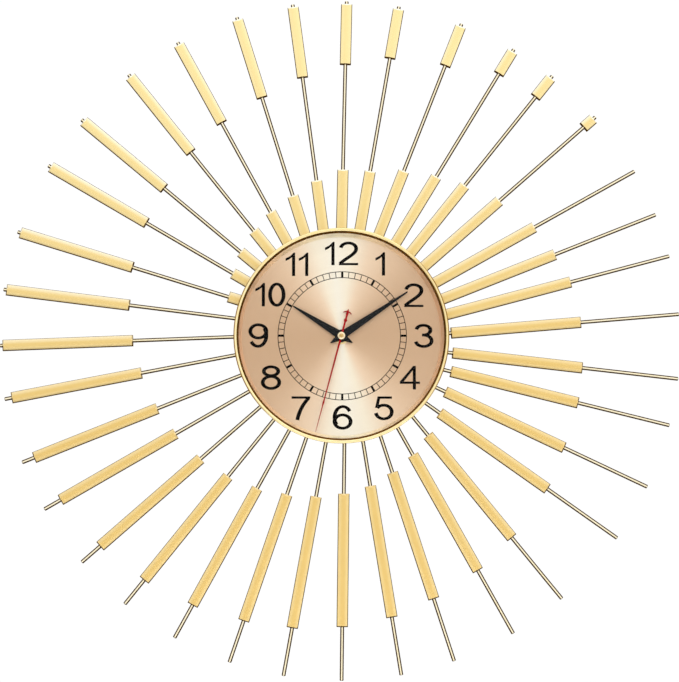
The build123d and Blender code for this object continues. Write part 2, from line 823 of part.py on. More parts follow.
def coil_bobbin():
    """Plastic spool on the core."""
    spool = along_coil(bobbin_tube_radius, -bobbin_half_length, bobbin_half_length)
    spool += along_coil(bobbin_radius, -bobbin_half_length, bobbin_flange - bobbin_half_length)
    spool += along_coil(bobbin_radius, bobbin_half_length - bobbin_flange, bobbin_half_length)
    middle = (rotor_centre[0], coil_y)
    return spool - block(4 * bobbin_half_length, core_width, stator_front, core_front, middle)


def coil_winding():
    """Copper winding between the flanges of the spool."""
    reach = bobbin_half_length - bobbin_flange
    bore = along_coil(bobbin_tube_radius, -reach - over, reach + over)
    return along_coil(coil_radius, -reach, reach) - bore


def circuit_board():
    """Circuit board on the back of the bridge."""
    return block(board_width, board_height, board_back, bridge_back, board_centre)


def control_chip():
    """Sealed chip on the board."""
    chip_centre = (board_centre[0], board_centre[1] - chip_drop)
    chip = disc(chip_radius, board_back - chip_thickness, board_back, chip_centre)
    return fillet(chip.edges().group_by(Axis.Z)[0], chip_round)


def crystal_can():
    """Small quartz crystal in its can."""
    can = chamfer(Cylinder(crystal_radius, crystal_length, align=BASE).edges(), crystal_chamfer)
    return Pos(board_centre[0], board_centre[1], board_back - crystal_radius) * Rot(-90, 0, 0) * can


# ---- battery ----
def battery():
    """AA cell, lying along the lower edge of the movement."""
    body = Cylinder(cell_radius, cell_length - nub_length, align=BASE)
    body = fillet(body.edges(), cell_round)
    body += Pos(0, 0, cell_length - nub_length) * Cylinder(nub_radius, nub_length, align=BASE)
    return Pos(cell_left, cell_y, cell_depth) * Rot(0, 90, 0) * body


def contact_plate(x):
    """Upright contact strip at one end of the battery bay, by its middle."""
    return block(contact_sheet, contact_width, contact_back, contact_front, (x, cell_y))


def positive_contact():
    """Bent contact at the button end of the cell."""
    face = cell_left + cell_length
    wall = movement_size / 2 - movement_wall
    fold_back = contact_front - contact_sheet
    fold = block(wall - face, contact_width, fold_back, contact_front, ((wall + face) / 2, cell_y))
    return contact_plate(face + contact_sheet / 2) + fold


def negative_contact():
    """Contact plate with its spring at the flat end of the cell."""
    wall = movement_wall - movement_size / 2
    reach = cell_left - wall - contact_sheet
    path = Helix(spring_pitch, reach - spring_wire_radius, spring_radius)
    spring = sweep((path ^ 0) * Circle(spring_wire_radius), path)
    spring_place = Pos(wall + contact_sheet, cell_y, cell_depth) * Rot(0, 90, 0)
    return contact_plate(wall + contact_sheet / 2) + spring_place * spring


# ---- hands ----
def hand_outline(length):
    """Tapered blade with a round hub and a pointed tail, pointing at twelve."""
    half, tail_half = hand_half_width, hand_tail_half_width
    blade = Polygon((-half, hand_shoulder), (0, length), (half, hand_shoulder), (0, 0), align=None)
    spike = Polygon((-tail_half, 0), (tail_half, 0), (0, -hand_tail), align=None)
    return Circle(hand_hub_radius) + blade + spike


def black_hand(length, rest_angle, pipe_radius, pipe_front):
    """Hour or minute hand with a collar that is pressed on its pipe."""
    blade_front = pipe_front - hand_collar_rise
    hand = slab(hand_outline(length), blade_front - hand_sheet, blade_front)
    hand += disc(pipe_radius + hand_collar_wall, pipe_front - hand_collar, pipe_front)
    hand -= disc(pipe_radius, pipe_front - hand_collar - over, pipe_front + over)
    return Rot(0, 0, -rest_angle) * hand


def hour_hand():
    """Short hand."""
    return black_hand(hour_hand_length, hour_rest_angle, hour_pipe_radius, hour_pipe_front)


def minute_hand():
    """Long hand."""
    return black_hand(minute_hand_length, minute_rest_angle, minute_pipe_radius, minute_pipe_front)


def mirrored_outline(*right_side):
    """Flat outline that is the same on both sides of the y axis, from the points of its right side."""
    left_side = [(-x, y) for x, y in reversed(right_side) if x != 0]
    return make_face(Polyline(*right_side, *left_side, close=True))


def second_hand():
    """Fine hand with a counterweight: a small diamond and a curved cross-piece at the end of the tail."""
    back = cap_back - second_hand_sheet
    tail = -second_tail_length
    waist, swell = second_blade_waist, second_blade_swell
    low, middle, high = swell_ys
    outline = mirrored_outline((second_blade_root, 0), (waist, low), (swell, middle), (waist, high),
                               (0, second_hand_length))
    half = tail_half_width
    outline += mirrored_outline((half, 0), (half, tail_narrow_y), (tail_flare, cross_y),
                                (half, tail + tail_point), (0, tail))
    low, middle, high = diamond_ys
    outline += mirrored_outline((half, high), (diamond_half, middle), (half, low))
    cross_ends = (-cross_half, cross_y), (cross_half, cross_y)
    outer_arc = ThreePointArc(cross_ends[0], (0, cross_y - cross_drop), cross_ends[1])
    inner_arc = ThreePointArc(cross_ends[1], (0, cross_y + cross_rise), cross_ends[0])
    outline += make_face([outer_arc, inner_arc])
    outline += Circle(second_hub_radius)
    hand = slab(outline, back, cap_back) + disc(second_collar_radius, back - second_collar, back)
    hand -= disc(second_arbor_radius, back - second_collar - over, cap_back + over)
    return Rot(0, 0, -second_rest_angle) * hand


def second_cap():
    """Domed cap on the tip of the arbor."""
    cap = disc(cap_radius, cap_back, cap_front)
    cap = fillet(cap.edges().group_by(Axis.Z)[-1], cap_round)
    return cap - disc(second_arbor_radius, cap_back - over, second_arbor_front)


def main():
    """Write every piece."""
    os.makedirs("parts", exist_ok=True)
    save("case_pan", case_pan())
    save("bezel_ring", bezel_ring())
    save("glass_lens", glass_lens())
    save("lens_gasket", lens_gasket())
    save("rehaut_ring", rehaut_ring())
    save("dial_plate", dial_plate())
    for panel in range(panels):
        save(f"ray_strap_{panel + 1}", ray_strap(panel))
        save(f"ray_rods_{panel + 1}", *ray_rods(panel))
        save(f"ray_bars_{panel + 1}", *ray_bars(panel))
    save("strap_screws", *[strap_screw(point) for point in strap_screw_points()])
    save("strap_nuts", *[strap_nut(point) for point in strap_screw_points()])
    save("standoff_posts", *[standoff_post(angle) for angle in post_angles])
    save("wall_pads", *[wall_pad(angle) for angle in post_angles])
    save("hanger_bracket", hanger_bracket())
    save("movement_case", movement_case())
    save("movement_cover", movement_cover())
    save("train_bridge", train_bridge())
    save("movement_screws", *movement_screws())
    save("threaded_bush", threaded_bush())
    save("rubber_washer", rubber_washer())
    save("brass_washer", brass_washer())
    save("hex_nut", hex_nut())
    save("hour_wheel", hour_wheel())
    save("minute_arbor", minute_arbor())
    save("centre_wheel", centre_wheel())
    save("motion_wheel", motion_wheel())
    save("setting_knob", setting_knob())
    save("third_wheel", third_wheel())
    save("second_arbor", second_arbor())
    save("intermediate_wheel", intermediate_wheel())
    save("rotor", rotor())
    save("stator", stator())
    save("coil_core", coil_core())
    save("coil_bobbin", coil_bobbin())
    save("coil_winding", coil_winding())
    save("circuit_board", circuit_board())
    save("control_chip", control_chip())
    save("crystal_can", crystal_can())
    save("battery", battery())
    save("positive_contact", positive_contact())
    save("negative_contact", negative_contact())
    save("hour_hand", hour_hand())
    save("minute_hand", minute_hand())
    save("second_hand", second_hand())
    save("second_cap", second_cap())


main()
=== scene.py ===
"""Looks of a sunburst wall clock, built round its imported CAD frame."""
import json
import math

import bmesh
import bpy
import numpy as np
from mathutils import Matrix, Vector
from mathutils.geometry import delaunay_2d_cdt


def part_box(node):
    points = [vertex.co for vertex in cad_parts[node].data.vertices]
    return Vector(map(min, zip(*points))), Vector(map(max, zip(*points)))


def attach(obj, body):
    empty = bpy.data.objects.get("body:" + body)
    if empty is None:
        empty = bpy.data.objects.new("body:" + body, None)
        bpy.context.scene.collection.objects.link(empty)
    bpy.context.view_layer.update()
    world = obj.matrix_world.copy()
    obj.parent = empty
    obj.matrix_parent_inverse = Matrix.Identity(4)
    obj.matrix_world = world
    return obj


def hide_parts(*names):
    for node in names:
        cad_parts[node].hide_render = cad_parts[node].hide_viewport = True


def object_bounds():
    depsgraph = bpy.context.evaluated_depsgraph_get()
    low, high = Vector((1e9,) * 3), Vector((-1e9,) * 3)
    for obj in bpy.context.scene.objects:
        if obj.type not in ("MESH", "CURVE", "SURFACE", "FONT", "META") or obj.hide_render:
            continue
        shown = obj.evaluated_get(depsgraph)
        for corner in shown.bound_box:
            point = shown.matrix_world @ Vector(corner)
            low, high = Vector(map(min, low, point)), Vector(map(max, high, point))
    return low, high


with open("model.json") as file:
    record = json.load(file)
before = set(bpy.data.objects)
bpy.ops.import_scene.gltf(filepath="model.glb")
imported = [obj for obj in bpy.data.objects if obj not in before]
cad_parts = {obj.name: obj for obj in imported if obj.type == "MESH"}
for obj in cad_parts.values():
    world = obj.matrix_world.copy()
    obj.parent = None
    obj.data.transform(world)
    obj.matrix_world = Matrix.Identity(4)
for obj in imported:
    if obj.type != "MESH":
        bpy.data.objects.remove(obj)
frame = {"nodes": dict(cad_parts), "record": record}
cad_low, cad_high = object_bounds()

# Lengths below are millimetres unless they say otherwise. A place on the clock is given as
# (right, up, depth): right and up from the axis of the hands, and depth forward of the wall.
MM = 0.001
wall_y = cad_high.y
TURN = 2 * math.pi

# ---- look of the dial ----
numeral_radius = 84.9        # from the hand axis to the middle of each numeral
numeral_height = 24.1
numeral_grid = 24.0          # grid units in a numeral's height
pen_upright = 3.9            # thickness of strokes that run up, in grid units
pen_level = 2.9              # thickness of strokes that run across, in grid units
numeral_gap = 3.6            # between the two figures of 10, 11 and 12, in grid units
print_shift = (1.0, 0.4)     # the print sits this far right of and above the hand axis
# Right and up moves of single numerals from their places on the circle.
numeral_moves = {
    1: (-3.4, 0.4), 2: (-0.5, -0.9), 3: (-1.5, -0.1), 4: (-4.4, -0.5), 5: (0.0, -0.6), 6: (0.3, 1.4),
    7: (0.3, -0.6), 8: (0.8, -0.4), 9: (-0.9, 0.1), 10: (-0.2, -0.4), 11: (-4.0, -0.2), 12: (-0.7, -0.4),
}
ink = 0.05                   # thickness of print on the dial
track_outer = 66.1
track_inner = 60.0
track_line = 0.75
tick_thin = 0.75
tick_thick = 2.3

# ---- look of the metalwork ----
bar_corner = 1.0             # rounding along the edges of a bar
bar_crown = 0.45             # how far the face of a bar stands proud in the middle
bar_end_bevel = 1.1
bore_gap = 0.12              # dark gap round a rod where it enters a bar
bore_wall = 0.2              # metal left round that gap where the end of the bar is bevelled
rod_end_round = 0.6
end_band = 1.8               # the rounding at an end is shaded within this length
gasket_bulge = 0.5           # the seal bulges inwards by this, widening the dark line that paints the shade under the bezel's lip
black_hub = 6.4              # radius of the hub of the hour and minute hands
black_tail = 13.6            # length of their tails from the hand axis
red_hub = 3.4                # radius of the hub of the second hand
cap_trim = 0.35              # the cap's visible edge lies this far inside the CAD cap
washer_radius = 7.5
washer_drop = 0.9            # the washer hangs low by the play in its hole
bead_rise = 0.75             # height of the bezel's bead, as a share of half its width
rim_edge = 0.4               # bevel round the back of the bezel
glass_gap = 0.15             # from the glass to the bezel's wall
ground_edge = 0.3            # bevel round the glass
broken_edge = 0.15           # bevel on the edges of thin sheet
lathe_steps = 288
hub_steps = 96

# ---- camera ----
camera_left = 0.937          # degrees to the left of the hand axis
camera_below = 3.372         # degrees below it
camera_aim = (-1.816, -5.037)  # right and up of the hand axis, on the dial
camera_distance = 1.544      # metres
camera_lens = 79.67


# ---- measuring the CAD frame ----
def at(right, up, depth):
    """A place on the clock in metres, in the row frame."""
    return Vector((right * MM, wall_y - depth * MM, up * MM))


def depths(node):
    """Back and front depth of a CAD node."""
    low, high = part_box(node)
    return (wall_y - high.y) / MM, (wall_y - low.y) / MM


def outer_radius(node):
    """Radius of a round CAD node that is centred on the hand axis."""
    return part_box(node)[1].x / MM


def radii_of(node):
    """Distances of a CAD node's points from the hand axis."""
    return np.hypot(*points_of(node)[:, :2].T)


def to_clock(coordinates):
    """Rows of right, up and depth from rows of x, y and z in metres."""
    x, y, z = np.asarray(coordinates, float).reshape(-1, 3).T
    return np.stack((x, z, wall_y - y), axis=1) / MM


def points_of(node):
    """Points of a CAD node, as rows of right, up and depth."""
    mesh = frame["nodes"][node].data
    flat = np.empty(len(mesh.vertices) * 3, np.float32)
    mesh.vertices.foreach_get("co", flat)
    return to_clock(flat)


def solids_of(node):
    """The points of each separate solid of a CAD node."""
    work = bmesh.new()
    work.from_mesh(frame["nodes"][node].data)
    bmesh.ops.remove_doubles(work, verts=work.verts, dist=1e-6)
    seen = set()
    solids = []
    for first in work.verts:
        if first in seen:
            continue
        seen.add(first)
        waiting = [first]
        found = []
        while waiting:
            vertex = waiting.pop()
            found.append(vertex.co[:])
            for edge in vertex.link_edges:
                other = edge.other_vert(vertex)
                if other not in seen:
                    seen.add(other)
                    waiting.append(other)
        solids.append(to_clock(found))
    work.free()
    return solids


class Ray:
    """Where a rod or a bar lies: its middle, the way it points, its two ends and its cross-section."""

    def __init__(self, points):
        flat = points[:, :2]
        self.middle = (flat.min(0) + flat.max(0)) / 2
        beyond = (flat - self.middle) @ self.middle > 0
        outward = flat[beyond].mean(0) - flat[~beyond].mean(0)
        self.outward = outward / np.hypot(*outward)
        self.sideways = np.array((self.outward[1], -self.outward[0]))
        along = (flat - self.middle) @ self.outward
        across = (flat - self.middle) @ self.sideways
        self.inner, self.outer = along.min(), along.max()
        self.half_width = (across.max() - across.min()) / 2
        self.half_depth = (points[:, 2].max() - points[:, 2].min()) / 2
        self.depth = (points[:, 2].max() + points[:, 2].min()) / 2

    def place(self, along, across, depth):
        """A place on the clock from a distance along the ray, across it and forward of its middle."""
        right, up = self.middle + along * self.outward + across * self.sideways
        return at(right, up, self.depth + depth)


# ---- building meshes ----
class Shape:
    """The closed solids of one piece as they are put together."""

    def __init__(self):
        self.points = []
        self.faces = []
        self.grain = []

    def skin(self, loops, closed=False, grain=None):
        """Join equal loops of points. A closed skin joins the last loop to the first, others are capped."""
        start = len(self.points)
        size = len(loops[0])
        count = len(loops)
        for loop in loops:
            self.points.extend(loop)
        for loop in grain or [[(0, 0, 0)] * size] * count:
            self.grain.extend(loop)
        pairs = [(i, i + 1) for i in range(count - 1)]
        if closed:
            pairs.append((count - 1, 0))
        for a, b in pairs:
            for i in range(size):
                j = (i + 1) % size
                corners = (a * size + i, a * size + j, b * size + j, b * size + i)
                self.faces.append(tuple(start + corner for corner in corners))
        if not closed:
            self.faces.append(tuple(start + i for i in reversed(range(size))))
            self.faces.append(tuple(start + (count - 1) * size + i for i in range(size)))

    def lathe(self, profile, closed=True, steps=lathe_steps, centre=(0.0, 0.0)):
        """Turn an outline of (radius, depth) points about an axis that runs forward."""
        loops = [circle(radius, depth, steps, centre) for radius, depth in profile]
        self.skin(loops, closed)

    def slab(self, flat, back, front):
        """A solid over a flat shape, between two depths."""
        points, triangles = flat
        start = len(self.points)
        count = len(points)
        for depth in (back, front):
            self.points.extend(at(right, up, depth) for right, up in points)
        self.grain.extend([(0, 0, 0)] * (2 * count))
        edges = {}
        for a, b, c in triangles:
            self.faces.append((start + c, start + b, start + a))
            self.faces.append((start + count + a, start + count + b, start + count + c))
            for edge in ((a, b), (b, c), (c, a)):
                edges[edge] = True
        for a, b in edges:
            if (b, a) not in edges:
                self.faces.append((start + a, start + b, start + count + b, start + count + a))

    def piece(self, name, material, body, stands_for=None, smooth_angle=35):
        """Make the object, with faces turned outward, and ride it on a CAD body in place of a CAD node."""
        mesh = bpy.data.meshes.new(name)
        mesh.from_pydata(self.points, [], self.faces)
        grain = mesh.attributes.new("grain", "FLOAT_VECTOR", "POINT")
        grain.data.foreach_set("vector", np.array(self.grain, np.float32).ravel())
        work = bmesh.new()
        work.from_mesh(mesh)
        bmesh.ops.recalc_face_normals(work, faces=work.faces)
        work.to_mesh(mesh)
        work.free()
        mesh.materials.append(material)
        mesh.shade_smooth()
        mesh.set_sharp_from_angle(angle=math.radians(smooth_angle))
        made = bpy.data.objects.new(name, mesh)
        bpy.context.scene.collection.objects.link(made)
        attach(made, body)
        if stands_for:
            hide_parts(stands_for)


def circle(radius, depth, steps, centre=(0.0, 0.0)):
    """A ring of points about an axis that runs forward."""
    angles = [TURN * i / steps for i in range(steps)]
    return [at(centre[0] + radius * math.sin(a), centre[1] + radius * math.cos(a), depth) for a in angles]


def arc(centre, radii, start, end, steps=24):
    """Points on an ellipse from one angle to another, in degrees anticlockwise from the right."""
    angles = [math.radians(start + (end - start) * i / steps) for i in range(steps + 1)]
    return [(centre[0] + radii[0] * math.cos(a), centre[1] + radii[1] * math.sin(a)) for a in angles]


def curve(*control, steps=20):
    """Points on a Bezier curve with any number of control points."""
    def point(t):
        level = [Vector(c) for c in control]
        while len(level) > 1:
            level = [a.lerp(b, t) for a, b in zip(level, level[1:])]
        return tuple(level[0])
    return [point(i / steps) for i in range(steps + 1)]


def union(outlines):
    """Points and triangles that cover every outline once."""
    points = []
    polygons = []
    for loop in outlines:
        area = sum(a[0] * b[1] - b[0] * a[1] for a, b in zip(loop, loop[1:] + loop[:1]))
        ordered = loop if area > 0 else loop[::-1]
        polygons.append(list(range(len(points), len(points) + len(ordered))))
        points.extend(Vector(p) for p in ordered)
    corners, _, triangles, _, _, sources = delaunay_2d_cdt(points, [], polygons, 1, 1e-5, True)
    kept = [tuple(t) for t, source in zip(triangles, sources) if source]
    used = sorted({corner for t in kept for corner in t})
    renumber = {corner: i for i, corner in enumerate(used)}
    return [tuple(corners[c]) for c in used], [tuple(renumber[c] for c in t) for t in kept]


# ---- numerals, on a grid 24 units high with the baseline at 0 ----
def pen(path):
    """Outline of a pen stroke that is thicker where it runs up than where it runs across."""
    left, right = [], []
    for i, (x, y) in enumerate(path):
        before = path[max(i - 1, 0)]
        after = path[min(i + 1, len(path) - 1)]
        run = Vector((after[0] - before[0], after[1] - before[1])).normalized()
        half = math.hypot(pen_upright * run.y, pen_level * run.x) / 2
        left.append((x - half * run.y, y + half * run.x))
        right.append((x + half * run.y, y - half * run.x))
    return left + right[::-1]


def ring(centre, radii):
    """Two strokes that close into a ring."""
    return [pen(arc(centre, radii, -4, 184)), pen(arc(centre, radii, 176, 364))]


def nought():
    return 17.0, ring((8.5, 12), (6.9, 10.85))


def one():
    return 9.8, [[(9.8, 24), (8.1, 24), (4.6, 20.4), (0, 18.1), (0, 15.3), (3.6, 17.0), (6.55, 19.3),
                  (6.55, 0), (9.8, 0)]]


def two():
    top = arc((10.6, 17.1), (7.9, 5.75), 172, 0)
    slope = curve(top[-1], (18.5, 12.2), (12.4, 9.4), (7.6, 6.2), (3.3, 3.4), (1.9, 1.3))
    foot = [(0.5, 0), (20.5, 0), (20.5, 2.35), (3.2, 2.35), (1.2, 1.9)]
    return 20.5, [pen(top + slope[1:]), foot]


def three():
    upper = arc((9.4, 17.85), (7.2, 5.0), 172, -90)
    lower = arc((9.6, 7.0), (8.15, 5.8), 90, -172)
    return 19.3, [pen(upper + [(7.9, 12.85)]), pen([(7.9, 12.8)] + lower)]


def four():
    stem = [(13.2, 0), (16.4, 0), (16.4, 24), (13.2, 24)]
    crossbar = [(0, 5.75), (20.5, 5.75), (20.5, 8.1), (0, 8.1)]
    slope = [(0, 6.3), (3.2, 7.1), (13.3, 19.6), (16.4, 24), (13.7, 24), (0, 8.1)]
    return 20.5, [stem, crossbar, slope]


def five():
    top = [(3.4, 21.6), (18.0, 21.6), (18.0, 24), (3.4, 24)]
    back = [(3.4, 24), (6.3, 24), (4.5, 14.0), (3.9, 12.1), (0.8, 12.5)]
    bowl = arc((9.7, 8.15), (8.15, 6.95), 143, -172)
    return 19.5, [top, back, pen(bowl)]


def six():
    sweep = arc((10.1, 12.0), (8.45, 11.0), 34, 222)
    return 19.6, [pen(sweep)] + ring((9.8, 7.75), (8.2, 6.75))


def seven():
    top = [(0, 21.65), (17.4, 21.65), (19.2, 22.3), (19.2, 24), (0, 24)]
    leg = curve((17.8, 22.6), (8.7, 13.4), (5.9, 0))
    return 19.2, [top, pen(leg)]


def eight():
    return 20.0, ring((10, 18.4), (7.3, 4.5)) + ring((10, 7.0), (8.4, 6.1))


def nine():
    width, strokes = six()
    return width, [[(width - x, numeral_grid - y) for x, y in stroke] for stroke in strokes]


figures = (nought, one, two, three, four, five, six, seven, eight, nine)


def numeral(hour):
    """Outlines of an hour's numeral, upright and in its place on the dial."""
    drawn = [figures[int(letter)]() for letter in str(hour)]
    total = sum(width for width, _ in drawn) + numeral_gap * (len(drawn) - 1)
    scale = numeral_height / numeral_grid
    angle = TURN * hour / 12
    move_right, move_up = numeral_moves[hour]
    middle = numeral_radius * math.sin(angle) + move_right + print_shift[0]
    level = numeral_radius * math.cos(angle) + move_up + print_shift[1]
    start = -total / 2
    outlines = []
    for width, strokes in drawn:
        for stroke in strokes:
            outlines.append([(middle + (start + x) * scale, level + (y - numeral_grid / 2) * scale)
                             for x, y in stroke])
        start += width + numeral_gap
    return outlines


# ---- materials ----
class Nodes:
    """A tree of shader nodes as it is put together."""

    def __init__(self, tree):
        self.nodes = tree.nodes
        self.links = tree.links

    def feed(self, socket, value):
        """Give an input a value, or wire it to an output."""
        if isinstance(value, bpy.types.NodeSocket):
            self.links.new(value, socket)
        else:
            socket.default_value = value

    def add(self, kind, inputs=None, output=0, **settings):
        """Add a node and return one of its outputs."""
        node = self.nodes.new("ShaderNode" + kind)
        for key, value in settings.items():
            setattr(node, key, value)
        for key, value in (inputs or {}).items():
            self.feed(node.inputs[key], value)
        return node.outputs[output]

    def math(self, operation, a, b=0.0, clamp=False):
        return self.add("Math", {0: a, 1: b}, operation=operation, use_clamp=clamp)

    def blend(self, factor, a, b):
        """Mix two colours."""
        return self.add("Mix", {0: factor, 6: a, 7: b}, output=2, data_type="RGBA")

    def span(self, value, low, high, new_low, new_high):
        """Carry a value from one range to another."""
        inputs = {0: value, 1: low, 2: high, 3: new_low, 4: new_high}
        return self.add("MapRange", inputs)

    def ramp(self, value, stops):
        """A colour that follows a value through (value, colour) stops."""
        made = self.add("ValToRGB", {0: value})
        elements = made.node.color_ramp.elements
        while len(elements) < len(stops):
            elements.new(1.0)
        for element, (position, shade) in zip(elements, stops):
            element.position = position
            element.color = shade
        return made

    def coordinate(self, vector, axis):
        """One coordinate of a vector: 0 for x, 1 for y or 2 for z."""
        return self.add("SeparateXYZ", {0: vector}, output=axis)

    def unit(self, vector):
        """A vector of length 1 that points the same way."""
        return self.add("VectorMath", {0: vector}, operation="NORMALIZE")

    def dot(self, a, b):
        return self.add("VectorMath", {0: a, 1: b}, output=1, operation="DOT_PRODUCT")


class Finish(Nodes):
    """A material as it is put together."""

    def __init__(self, name):
        self.material = bpy.data.materials.new(name)
        self.material.use_nodes = True
        super().__init__(self.material.node_tree)
        self.surface = self.nodes["Principled BSDF"]

    def set(self, **inputs):
        """Feed the surface shader, with underscores for spaces in the input names."""
        for key, value in inputs.items():
            self.feed(self.surface.inputs[key.replace("_", " ")], value)

    def body(self):
        """The colour that feeds the surface so far."""
        return self.surface.inputs["Base Color"].links[0].from_socket

    def place(self):
        """Place on the clock, in metres."""
        return self.add("TexCoord", output="Object")

    def about_axis(self):
        """Places to the right of and above the hand axis, and the distance from it, in metres."""
        place = self.place()
        x = self.coordinate(place, 0)
        z = self.coordinate(place, 2)
        squares = self.math("ADD", self.math("MULTIPLY", x, x), self.math("MULTIPLY", z, z))
        return x, z, self.math("MAXIMUM", self.math("SQRT", squares), 0.1 * MM)

    def along_grain(self):
        """Distance along a rod or bar, across it and a number that differs from ray to ray."""
        return self.add("Attribute", output="Vector", attribute_name="grain")

    def round_grain(self):
        """Distance from the hand axis, and the direction from it, for patterns that run in rings."""
        x, z, radius = self.about_axis()
        return self.add("CombineXYZ", {0: radius, 1: self.math("DIVIDE", x, radius),
                                       2: self.math("DIVIDE", z, radius)})

    def noise(self, vector, scale, stretch=(1, 1, 1), detail=3.0):
        """Smooth noise, pulled out along the axes by stretch."""
        stretched = self.add("VectorMath", {0: vector, 1: stretch}, operation="MULTIPLY")
        return self.add("TexNoise", {"Vector": stretched, "Scale": scale, "Detail": detail})

    def bump(self, height, distance, strength=1.0):
        return self.add("Bump", {"Height": height, "Distance": distance, "Strength": strength})

    def normal(self):
        """The way a surface faces."""
        return self.add("NewGeometry", output="Normal")

    def upward(self):
        """How far a surface faces up, from -1 to 1."""
        return self.coordinate(self.normal(), 2)

    def turned(self):
        """0 where a surface faces straight to the front or back, 1 where it faces sideways."""
        return self.math("SUBTRACT", 1.0, self.math("ABSOLUTE", self.coordinate(self.normal(), 1)))

    def corner_share(self, start, end, tilt):
        """Share from 0 to 1 of a rounded corner between a front face and a side wall, more below, for
        painted shade.
        """
        turned = self.turned()
        low_side = self.math("MULTIPLY", self.upward(), -tilt)
        begun = self.span(self.math("ADD", turned, low_side), start, end, 0.0, 1.0)
        return self.math("MULTIPLY", begun, self.span(turned, 0.85, 0.97, 1.0, 0.0))

    def edge_on_share(self):
        """Share from 0 to 1 of a surface seen almost edge-on, for painted shade."""
        return self.span(self.add("LayerWeight", {"Blend": 0.5}, output="Facing"), 0.7, 0.9, 0.0, 1.0)

    def flank_share(self, start, end, tilt):
        """Share from 0 to 1 of the flanks of a rod, from wherever it is seen, more on its underside, for
        painted shade.
        """
        outward = self.unit(self.place())
        view = self.add("NewGeometry", output="Incoming")
        axial = self.add("VectorMath", {0: outward, 3: self.dot(view, outward)}, operation="SCALE")
        across = self.unit(self.add("VectorMath", {0: view, 1: axial}, operation="SUBTRACT"))
        away = self.math("SUBTRACT", 1.0, self.math("ABSOLUTE", self.dot(across, self.normal())))
        low_side = self.math("MULTIPLY", self.upward(), -tilt)
        return self.span(self.math("ADD", away, low_side), start, end, 0.0, 1.0)

    def with_ends(self, dark):
        """A painted-shade share that, on the cut ends of rods and bars, holds only where an end doesn't face
        up.
        """
        along = self.math("ABSOLUTE", self.dot(self.unit(self.place()), self.normal()))
        end = self.span(along, 0.35, 0.6, 0.0, 1.0)
        inputs = {0: end, 2: dark, 3: self.span(self.upward(), -0.1, 0.45, 1.0, 0.0)}
        return self.add("Mix", inputs, data_type="FLOAT")

    def darken(self, body, share, dark):
        """Painted shade: bare metal that gives way to a dark matt colour by a share."""
        bright = self.math("SUBTRACT", 1.0, share)
        self.set(Base_Color=self.blend(share, body, dark), Metallic=bright,
                 Specular_IOR_Level=self.math("MULTIPLY", bright, 0.5))


def colour(red, green, blue):
    """A linear colour from display values of 0 to 255."""
    def linear(value):
        share = value / 255
        return share / 12.92 if share <= 0.04045 else ((share + 0.055) / 1.055) ** 2.4
    return linear(red), linear(green), linear(blue), 1.0


def grained(name, light, dark, roughness, spread=0.08, metallic=0.0, scale=400.0, stretch=(1, 1, 1),
            depth=0.0, source="place", coat=0.0, specular=0.5):
    """A finish whose colour, gloss and relief follow one fine noise."""
    finish = Finish(name)
    vector = getattr(finish, source)()
    grain = finish.noise(vector, scale, stretch)
    cloud = finish.noise(vector, scale / 20)
    shade = finish.math("ADD", finish.math("MULTIPLY", grain, 0.6), finish.math("MULTIPLY", cloud, 0.4))
    finish.set(
        Base_Color=finish.blend(finish.span(shade, 0.35, 0.65, 0.0, 1.0), dark, light),
        Roughness=finish.span(shade, 0.3, 0.7, roughness + spread, roughness - spread),
        Metallic=metallic,
        Coat_Weight=coat,
        Coat_Roughness=0.2,
        Specular_IOR_Level=specular,
    )
    if depth:
        finish.set(Normal=finish.bump(grain, depth * MM))
    return finish


def satin_gold():
    """Fine-brushed gold lacquer on the bars, with painted light: paler towards the top, a painted highlight
    where the face turns and on upward edges, and painted shade on the other edges and on ends that don't
    face up.
    """
    finish = Finish("satin_gold")
    grain = finish.along_grain()
    brush = finish.noise(grain, 1.0, (6, 220, 40), detail=1.0)
    cloud = finish.noise(grain, 1.0, (20, 40, 7), detail=1.0)
    # Painted light: bars towards the top of the clock are paler, as if lit from above.
    x, z, _ = finish.about_axis()
    lift = finish.math("ADD", finish.math("MULTIPLY", x, -0.15), z)
    painted_top_light = finish.span(lift, -0.05, 0.30, 0.0, 1.0)
    body = finish.blend(painted_top_light, colour(233, 200, 124), colour(251, 230, 166))
    body = finish.blend(finish.span(brush, 0.3, 0.7, 0.0, 0.05), body, colour(214, 170, 92))
    body = finish.blend(finish.span(cloud, 0.35, 0.7, 0.0, 0.05), body, colour(255, 240, 196))
    # Painted highlight: up to a quarter paler wherever the face turns a few degrees from the front.
    body = finish.blend(finish.span(finish.turned(), 0.001, 0.009, 0.0, 0.25), body, colour(255, 242, 196))
    # Painted highlight: faces that tilt upward go whiter, more on bars towards the top.
    painted_highlight = finish.math("MULTIPLY", finish.span(finish.upward(), 0.03, 0.22, 0.0, 1.0),
                         finish.span(painted_top_light, 0.0, 0.7, 0.1, 0.75))
    body = finish.blend(painted_highlight, body, colour(255, 255, 246))
    # Painted shade: dark rounded corners, more underneath, edges seen edge-on, and ends that don't face up.
    dark = finish.math("MAXIMUM", finish.corner_share(0.03, 0.08, 0.2), finish.edge_on_share())
    finish.darken(body, finish.with_ends(dark), colour(58, 34, 0))
    finish.set(Roughness=finish.span(brush, 0.3, 0.7, 0.44, 0.48))
    return finish.material


def polished_gold():
    """Drawn gold rod: bright along the middle, with painted shade on its flanks, more underneath, for the
    dark edges of a polished round bar, and on ends that face down.
    """
    finish = grained("polished_gold", colour(255, 246, 218), colour(250, 236, 196), 0.25, 0.03, metallic=1.0,
                     scale=1.0, stretch=(25, 900, 9), source="along_grain")
    # Painted shade on the rod's flanks, more underneath, and on ends that face down.
    dark = finish.with_ends(finish.flank_share(0.02, 0.10, 0.10))
    finish.darken(finish.body(), dark, colour(56, 36, 0))
    return finish.material


